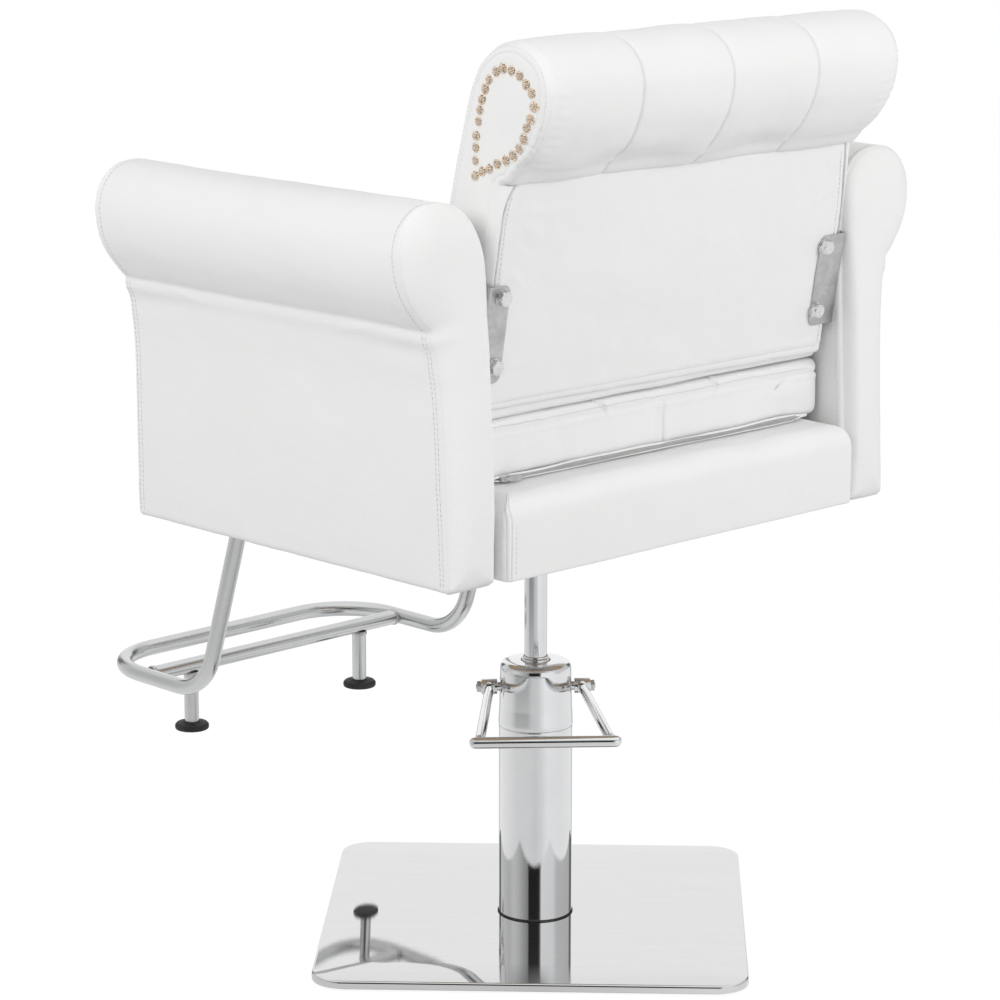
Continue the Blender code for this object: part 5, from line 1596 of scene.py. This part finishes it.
# ------------------------------------------------------------------ pump, rod and gland
TUBE_R = 0.042
TUBE_COUNT = 192
PEDAL_TURN = radians(-41.3)
PEDAL_Z = 0.28


def make_tube():
    low, high = [corner[2] for corner in box("pump_tube")]
    inner = TUBE_R - 0.0025
    profile = [(inner, low), (TUBE_R - 0.0003, low), (TUBE_R, low + 0.0003),
               *[(TUBE_R, z) for z in np.linspace(low + 0.004, high - 0.002, 24)],
               (TUBE_R, high - 0.0004), (TUBE_R - 0.0004, high), (inner, high)]
    piece("pump_lower_tube", lathe(profile, TUBE_COUNT, closed=True), TUBE_CHROME,
          body="base", slot="chrome", weld=1e-6, sharp=50, replaces="pump_tube")


def make_head_cover():
    """The upper cover, bored through for the pedal's hubs."""
    low, high = [corner[2] for corner in box("pump_head_cover")]
    outer = [(0.04, low), (0.0422, low), (0.0425, low + 0.0004), (0.0425, low + 0.004),
             (0.0416, low + 0.022), (0.0405, high - 0.0105), (0.0398, high - 0.0062),
             (0.0382, high - 0.0034), (0.035, high - 0.0016), (0.03, high - 0.0009),
             (0.018, high - 0.0002), (0.017, high - 0.0004)]
    inner = [(0.0168, high - 0.0022), (0.03, high - 0.003), (0.035, high - 0.004),
             (0.0372, high - 0.007), (0.0383, high - 0.011), (0.0394, low + 0.022),
             (0.04, low + 0.0006)]
    cover = piece("pump_upper_cover",
                  lathe(soften(outer, 0.0016, 5) + inner, TUBE_COUNT, closed=True),
                  TUBE_CHROME, body="base", slot="chrome", weld=1e-6, sharp=50,
                  replaces="pump_head_cover")
    points, faces = lathe([(0, -0.07), (0.0058, -0.07), (0.0058, 0.07), (0, 0.07)], 48)
    turn = np.array(Matrix.Rotation(PEDAL_TURN, 3, "Z")
                    @ Matrix.Rotation(radians(90), 3, "Y"))
    bore = add_object("hole", fill_mesh("hole", (points @ turn.T + (0, 0, PEDAL_Z), faces),
                                        weld=1e-5))
    cut = cover.modifiers.new("trunnion_holes", "BOOLEAN")
    cut.operation = "DIFFERENCE"
    cut.solver = "EXACT"
    cut.object = bore
    mesh = evaluated_copy(cover, "pump_upper_cover")
    cover.modifiers.clear()
    cover.data = mesh
    mesh.shade_smooth()
    mesh.set_sharp_from_angle(angle=radians(50))
    drop(bore)


def make_spring():
    low, high = box("plunger_spring")
    wire = 0.0008
    x, y, _ = (low + high) / 2
    radius, tall = (high[0] - low[0]) / 2 - wire, high[2] - low[2]
    t = np.linspace(0, 1, 241)
    turn = 2 * np.pi * 5 * t
    path = xyz(x + radius * np.cos(turn), y + radius * np.sin(turn),
               low[2] + wire + (tall - 2 * wire) * t)
    spring = piece("plunger_return_spring", pipe(path, 0.00075, 12), STEEL, body="base",
                   slot="mild_steel", weld=1e-7, replaces="plunger_spring")
    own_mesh(spring)


def make_gland():
    top = box("rod_gland")[1][2]
    profile = [(0.0134, top - 0.02), (0.0164, top - 0.02), (0.0164, top - 0.001),
               (0.016, top), (0.0147, top + 0.0005), (0.0143, top + 0.0009),
               (0.0142, top + 0.002), (0.0139, top + 0.0025), (0.0134, top + 0.0025)]
    piece("rod_gland_and_wiper", lathe(soften(profile, 0.0005, 3), closed=True), CHROME,
          body="base", slot="chrome", weld=1e-6, sharp=50, replaces="rod_gland")


def make_rod():
    (_, _, low), (radius, _, high) = box("piston_rod")
    profile = [(0, low), (radius - 0.001, low), (radius, low + 0.001),
               *[(radius, z) for z in np.linspace(low + 0.006, high - 0.004, 40)],
               (radius, high - 0.0015), (radius - 0.0015, high), (0, high)]
    piece("lift_rod", lathe(profile), CHROME, slot="chrome", weld=2e-6, sharp=50,
          replaces="piston_rod")


def make_foot_ring():
    low = box("tube_gasket")[0][2]
    profile = [(0.0422, low), (0.0433, low), (0.0433, low + 0.0006), (0.043, low + 0.0011),
               (0.0425, low + 0.0013), (0.0422, low + 0.0012)]
    piece("tube_foot_ring", lathe(soften(profile, 0.0002, 3), 128, closed=True), RUBBER,
          body="base", slot="black_rubber", weld=1e-6, replaces="tube_gasket")


make_tube()
make_head_cover()
make_spring()
make_gland()
make_rod()
make_foot_ring()


# ------------------------------------------------------------------ base plate
PLATE_CORNER = 0.036
PLATE_HOLE = 0.0426
PLATE_THICK = 0.0012
HOLE_COUNT = 96


def plate_loop(half, inset):
    """The plate's rounded square, drawn in and turned."""
    edge = half - inset
    corners = box_corners(-edge, edge, -edge, edge, PLATE_CORNER - inset)
    loop = np.vstack(corner_arcs(corners, 24))
    c, s = cos(radians(-PLATE_TURN)), sin(radians(-PLATE_TURN))
    return loop @ np.array([[c, s], [-s, c]])


def ring_sheet(outer, hole, z):
    """A flat sheet between the outline and the hole."""
    points = np.vstack([outer, hole] + [(outer * scale)[::3] for scale in (0.25, 0.5, 0.75)])
    count = len(outer)
    edges = [(i, (i + 1) % count) for i in range(count)]
    edges += [(count + i, count + (i + 1) % HOLE_COUNT) for i in range(HOLE_COUNT)]
    flat, faces, middles = triangulated(points, edges, [], 0, 1e-8)
    keep = inside(middles, outer) & ~inside(middles, hole)
    return xyz(flat[:, 0], flat[:, 1], z), [face for face, ok in zip(faces, keep) if ok]


def make_base_plate():
    """A thin pressed sheet with a skirt, open underneath."""
    mesh = NODES["plate_cover"].data
    cad = coords(mesh)
    turn = radians(PLATE_TURN)
    half = np.abs(cad[:, 0] * cos(turn) - cad[:, 1] * sin(turn)).max()
    base, top = [corner[2] for corner in box("plate_cover")]
    under = top - PLATE_THICK

    def level(loop, z):
        return xyz(loop[:, 0], loop[:, 1], z)

    skin = [level(plate_loop(half, inset), z) for inset, z in (
        (0.0019, base), (0.0004, base + 0.0003), (0.0001, base + 0.0012), (0, base + 0.0024),
        (0, top - 0.0034), (0.0002, top - 0.0018), (0.0008, top - 0.0007),
        (0.0018, top - 0.0001), (0.0026, top))]
    rim = plate_loop(half, 0.0026)
    hole = np.array([(PLATE_HOLE * cos(t), PLATE_HOLE * sin(t)) for t in angles(HOLE_COUNT)])
    inner = [level(rim, under), level(rim, base + 0.001), skin[0]]
    shape = merge([grid(skin), ring_sheet(rim, hole, top),
                   grid([level(hole, top), level(hole, under)]),
                   ring_sheet(rim, hole, under), grid(inner)])
    piece("base_plate_sheet", shape, PLATE, body="base", slot="brushed_stainless", weld=3e-6,
          sharp=60, replaces="plate_cover")


make_base_plate()


# ------------------------------------------------------------------ pedal
PEDAL_REACH, PEDAL_DROP, PEDAL_HALF = 0.2005, 0.006, 0.0827
PEDAL_BAR_R, PEDAL_ARM_R = 0.0064, 0.0056
# A hub and its washer: (radius, distance along the axle).
HUB = [(0, 0.0356), (0.0048, 0.0356), (0.0052, 0.036), (0.0052, 0.0436), (0.0084, 0.0437),
       (0.0089, 0.0442), (0.0089, 0.0612), (0.0084, 0.0618), (0.0068, 0.062),
       (0.0066, 0.0626), (0.004, 0.0627), (0, 0.0627)]
AXLE_END = [(0, 0.0662), (0.003, 0.0662), (0.003, 0.0674), (0.0024, 0.0679), (0, 0.0679)]


def in_pedal(shape):
    """From the pedal's own axes, x along its axle and y along its arms, to the chair's."""
    x, y, z = shape[0].T
    c, s = cos(PEDAL_TURN), sin(PEDAL_TURN)
    return xyz(x * c - y * s, x * s + y * c, z + PEDAL_Z), shape[1]


def make_pedal():
    reach = PEDAL_HALF - PEDAL_BAR_R
    bar = [(x, PEDAL_REACH, -PEDAL_DROP) for x in np.linspace(-reach, reach, 30)]
    shapes = [pipe(bar, PEDAL_BAR_R, 32, dome=PEDAL_BAR_R)]
    for sign in (1, -1):
        start = np.array((sign * 0.053, 0.009, 0))
        stop = np.array((sign * 0.0713, PEDAL_REACH - 0.003, -PEDAL_DROP))
        path = [start + (stop - start) * t for t in np.linspace(0, 1, 30)]
        shapes.append(pipe(path, PEDAL_ARM_R, 28))
        way = unit(stop - start)
        shapes.append(weld_bead(stop - way * 0.0045, way, PEDAL_ARM_R - 0.0003, 0.0034,
                                3.0 + sign))
    piece("foot_pedal", in_pedal(merge(shapes)), TUBE_CHROME, body="pedal", slot="chrome",
          weld=1e-6, replaces="pedal_bar")


def make_hub(side, sign):
    def along_axle(profile, count):
        return lathe([(radius, sign * x) for radius, x in profile], count, axis="X")

    socket = pipe([(sign * (0.053 + 0.0181 * t), 0.004 + 0.19 * t, 0)
                   for t in (0, 0.022, 0.044)], 0.0071, 32)
    piece(f"pedal_hub_{side}_cover", in_pedal(merge([along_axle(HUB, 64), socket])), CHROME,
          body="pedal", slot="chrome", weld=1e-6, sharp=40, replaces=f"pedal_hub_{side}")
    turn = angles(HEX_COUNT) + 0.3
    nut = grid([xyz(sign * (0.0624 + height), radius * np.cos(turn), radius * np.sin(turn))
                for radius, height in hex_head(0.0122, 0.0044)])
    piece(f"pedal_nut_{side}", in_pedal(merge([nut, along_axle(AXLE_END, 32)])), ZINC,
          body="pedal", slot="zinc_plated", weld=1e-6, sharp=35, replaces=f"hub_nut_{side}")


make_pedal()
for side, sign in SIDES:
    make_hub(side, sign)


# ------------------------------------------------------------------ floor and world
CAMERA_AT = (2.67047, 2.72592, 1.36804)
WHITE = (1, 1, 1)
# Greys by bearing about the pump: 0.5 is the camera's side, 0 and 1 the far side.
FLOOR_NEAR = [(0, 0.95), (0.08, 0.62), (0.12, 0.9), (0.26, 0.8), (0.34, 0.72), (0.46, 0.7),
              (0.5, 0.66), (0.55, 0.74), (0.6, 0.86), (0.72, 0.84), (0.88, 0.9), (0.93, 0.6),
              (1, 0.95)]
FLOOR_FAR = [(0, 0.95), (0.08, 0.45), (0.12, 0.85), (0.28, 0.62), (0.33, 0.3), (0.43, 0.36),
             (0.47, 0.6), (0.52, 0.66), (0.58, 0.95), (0.72, 0.86), (0.88, 0.88), (0.93, 0.4),
             (1, 0.95)]
SKY_LOW = [(0, 1), (0.055, 1), (0.075, 0.1), (0.105, 0.15), (0.125, 0.75), (0.25, 0.6),
           (0.3, 0.7), (0.345, 0.62), (0.4, 0.42), (0.435, 0.3), (0.445, 0.02), (0.525, 0.02),
           (0.54, 0.1), (0.553, 0.95), (0.66, 0.9), (0.7, 0.66), (0.86, 0.6), (0.895, 0.12),
           (0.925, 0.1), (0.945, 1), (1, 1)]
SKY_MID = [(0, 0.95), (0.12, 0.75), (0.3, 0.45), (0.44, 0.22), (0.55, 0.3), (0.64, 0.7),
           (0.85, 0.6), (1, 0.95)]


def bearing(nodes, x, y):
    """Azimuth from the camera's side, from -1 to 1 for half a turn each way."""
    turn = nodes.math("ARCTAN2", y, x)
    turn = nodes.math("SUBTRACT", turn, atan2(CAMERA_AT[1], CAMERA_AT[0]))
    turn = nodes.math("ADD", turn, pi)
    turn = nodes.math("FLOORED_MODULO", turn, 2 * pi)
    return nodes.math("DIVIDE", nodes.math("SUBTRACT", turn, pi), pi)


def ring_ramp(nodes, turn, stops):
    return nodes.ramp(nodes.math("MULTIPLY_ADD", turn, 0.5, 0.5), stops)


def by_ray(nodes, diffuse, glossy, camera):
    """Different shaders for glossy rays, camera rays and the rest."""
    path = nodes.node("LightPath")
    other = nodes.mix_shader(path.outputs["Is Glossy Ray"], diffuse, glossy)
    return nodes.mix_shader(path.outputs["Is Camera Ray"], other, camera)


def floor_material():
    """White to the camera; bands of grey in the metal's reflections."""
    mat = bpy.data.materials.new("pale_floor")
    mat.use_nodes = True
    nodes = Nodes(mat.node_tree)
    nodes.tree.nodes.remove(nodes.tree.nodes["Principled BSDF"])
    place = nodes.node("NewGeometry").outputs["Position"]
    x, y, _ = nodes.node("SeparateXYZ", Vector=place).outputs
    turn = bearing(nodes, x, y)
    square = nodes.math("ADD", nodes.math("MULTIPLY", x, x), nodes.math("MULTIPLY", y, y))
    radius = nodes.math("SQRT", square)
    near = ring_ramp(nodes, turn, FLOOR_NEAR)
    far = ring_ramp(nodes, turn, FLOOR_FAR)
    band = nodes.mix(nodes.fit(radius, (0.75, 1.55)), near, far)
    white = nodes.out("Emission", Color=WHITE, Strength=1.07)
    matt = nodes.out("BsdfDiffuse", Color=(0.93, 0.93, 0.93))
    shader = by_ray(nodes, nodes.out("Emission", Color=WHITE, Strength=0.62),
                    nodes.out("Emission", Color=band, Strength=1.0),
                    nodes.mix_shader(0.15, white, matt))
    nodes.put(nodes.tree.nodes["Material Output"].inputs[0], shader)
    return mat


def make_floor(radius=9, count=96, z=-0.0002):
    material = floor_material()
    mesh = bpy.data.meshes.new("studio_floor")
    rim = [(radius * cos(t), radius * sin(t), z) for t in angles(count)]
    mesh.from_pydata([(0, 0, z)] + rim, [],
                     [(0, 1 + i, 1 + (i + 1) % count) for i in range(count)])
    mesh.materials.append(material)
    add_object("studio_floor", mesh)


def make_world():
    """White to the camera; rings of light and dark in reflections."""
    world = bpy.data.worlds.new("soft_studio")
    world.use_nodes = True
    SCENE.world = world
    nodes = Nodes(world.node_tree)
    nodes.tree.nodes.remove(nodes.tree.nodes["Background"])
    way = nodes.node("TexCoord").outputs["Generated"]
    x, y, height = nodes.node("SeparateXYZ", Vector=way).outputs
    turn = bearing(nodes, x, y)
    low = ring_ramp(nodes, turn, SKY_LOW)
    middle = ring_ramp(nodes, turn, SKY_MID)
    shine = nodes.mix(nodes.fit(height, (0.34, 0.52)), low, middle)
    shine = nodes.mix(nodes.fit(height, (0.60, 0.74)), shine, WHITE)
    shader = by_ray(nodes, nodes.out("Background", Color=WHITE, Strength=0.64),
                    nodes.out("Background", Color=shine, Strength=1.0),
                    nodes.out("Background", Color=WHITE, Strength=1.0))
    nodes.put(nodes.tree.nodes["World Output"].inputs[0], shader)


make_floor()
make_world()


# ------------------------------------------------------------------ lights and camera
def softbox(name, at, aim, size, power):
    """A square area light, unseen by the camera and in reflections."""
    light = bpy.data.lights.new(name, "AREA")
    light.shape = "RECTANGLE"
    light.size = light.size_y = size
    light.energy = power
    ob = add_object(name, light)
    ob.location = at
    ob.rotation_euler = (Vector(aim) - Vector(at)).to_track_quat("-Z", "Y").to_euler()
    ob.visible_glossy = False
    ob.visible_camera = False


def make_camera():
    camera = bpy.data.cameras.new("camera")
    camera.lens = 125.47
    camera.sensor_width = 36.0
    camera.clip_end = 100
    forward = Vector((-0.6748, -0.7036, -0.2226)).normalized()
    right = Vector((-0.7217, 0.6922, 0.0))
    right = (right - forward * right.dot(forward)).normalized()
    turn = Matrix((right, right.cross(forward), -forward)).transposed()
    ob = add_object("camera", camera)
    ob.matrix_world = Matrix.Translation(Vector(CAMERA_AT)) @ turn.to_4x4()
    SCENE.camera = ob


softbox("rear_key", at=(-0.7, 2.6, 1.75), aim=(0.0, 0.2, 0.85), size=1.5, power=30)
softbox("side_key", at=(2.6, 0.1, 2.0), aim=(0.2, 0.1, 0.95), size=1.2, power=27)
make_camera()
SCENE.view_settings.view_transform = "Standard"
SCENE.view_settings.look = "None"
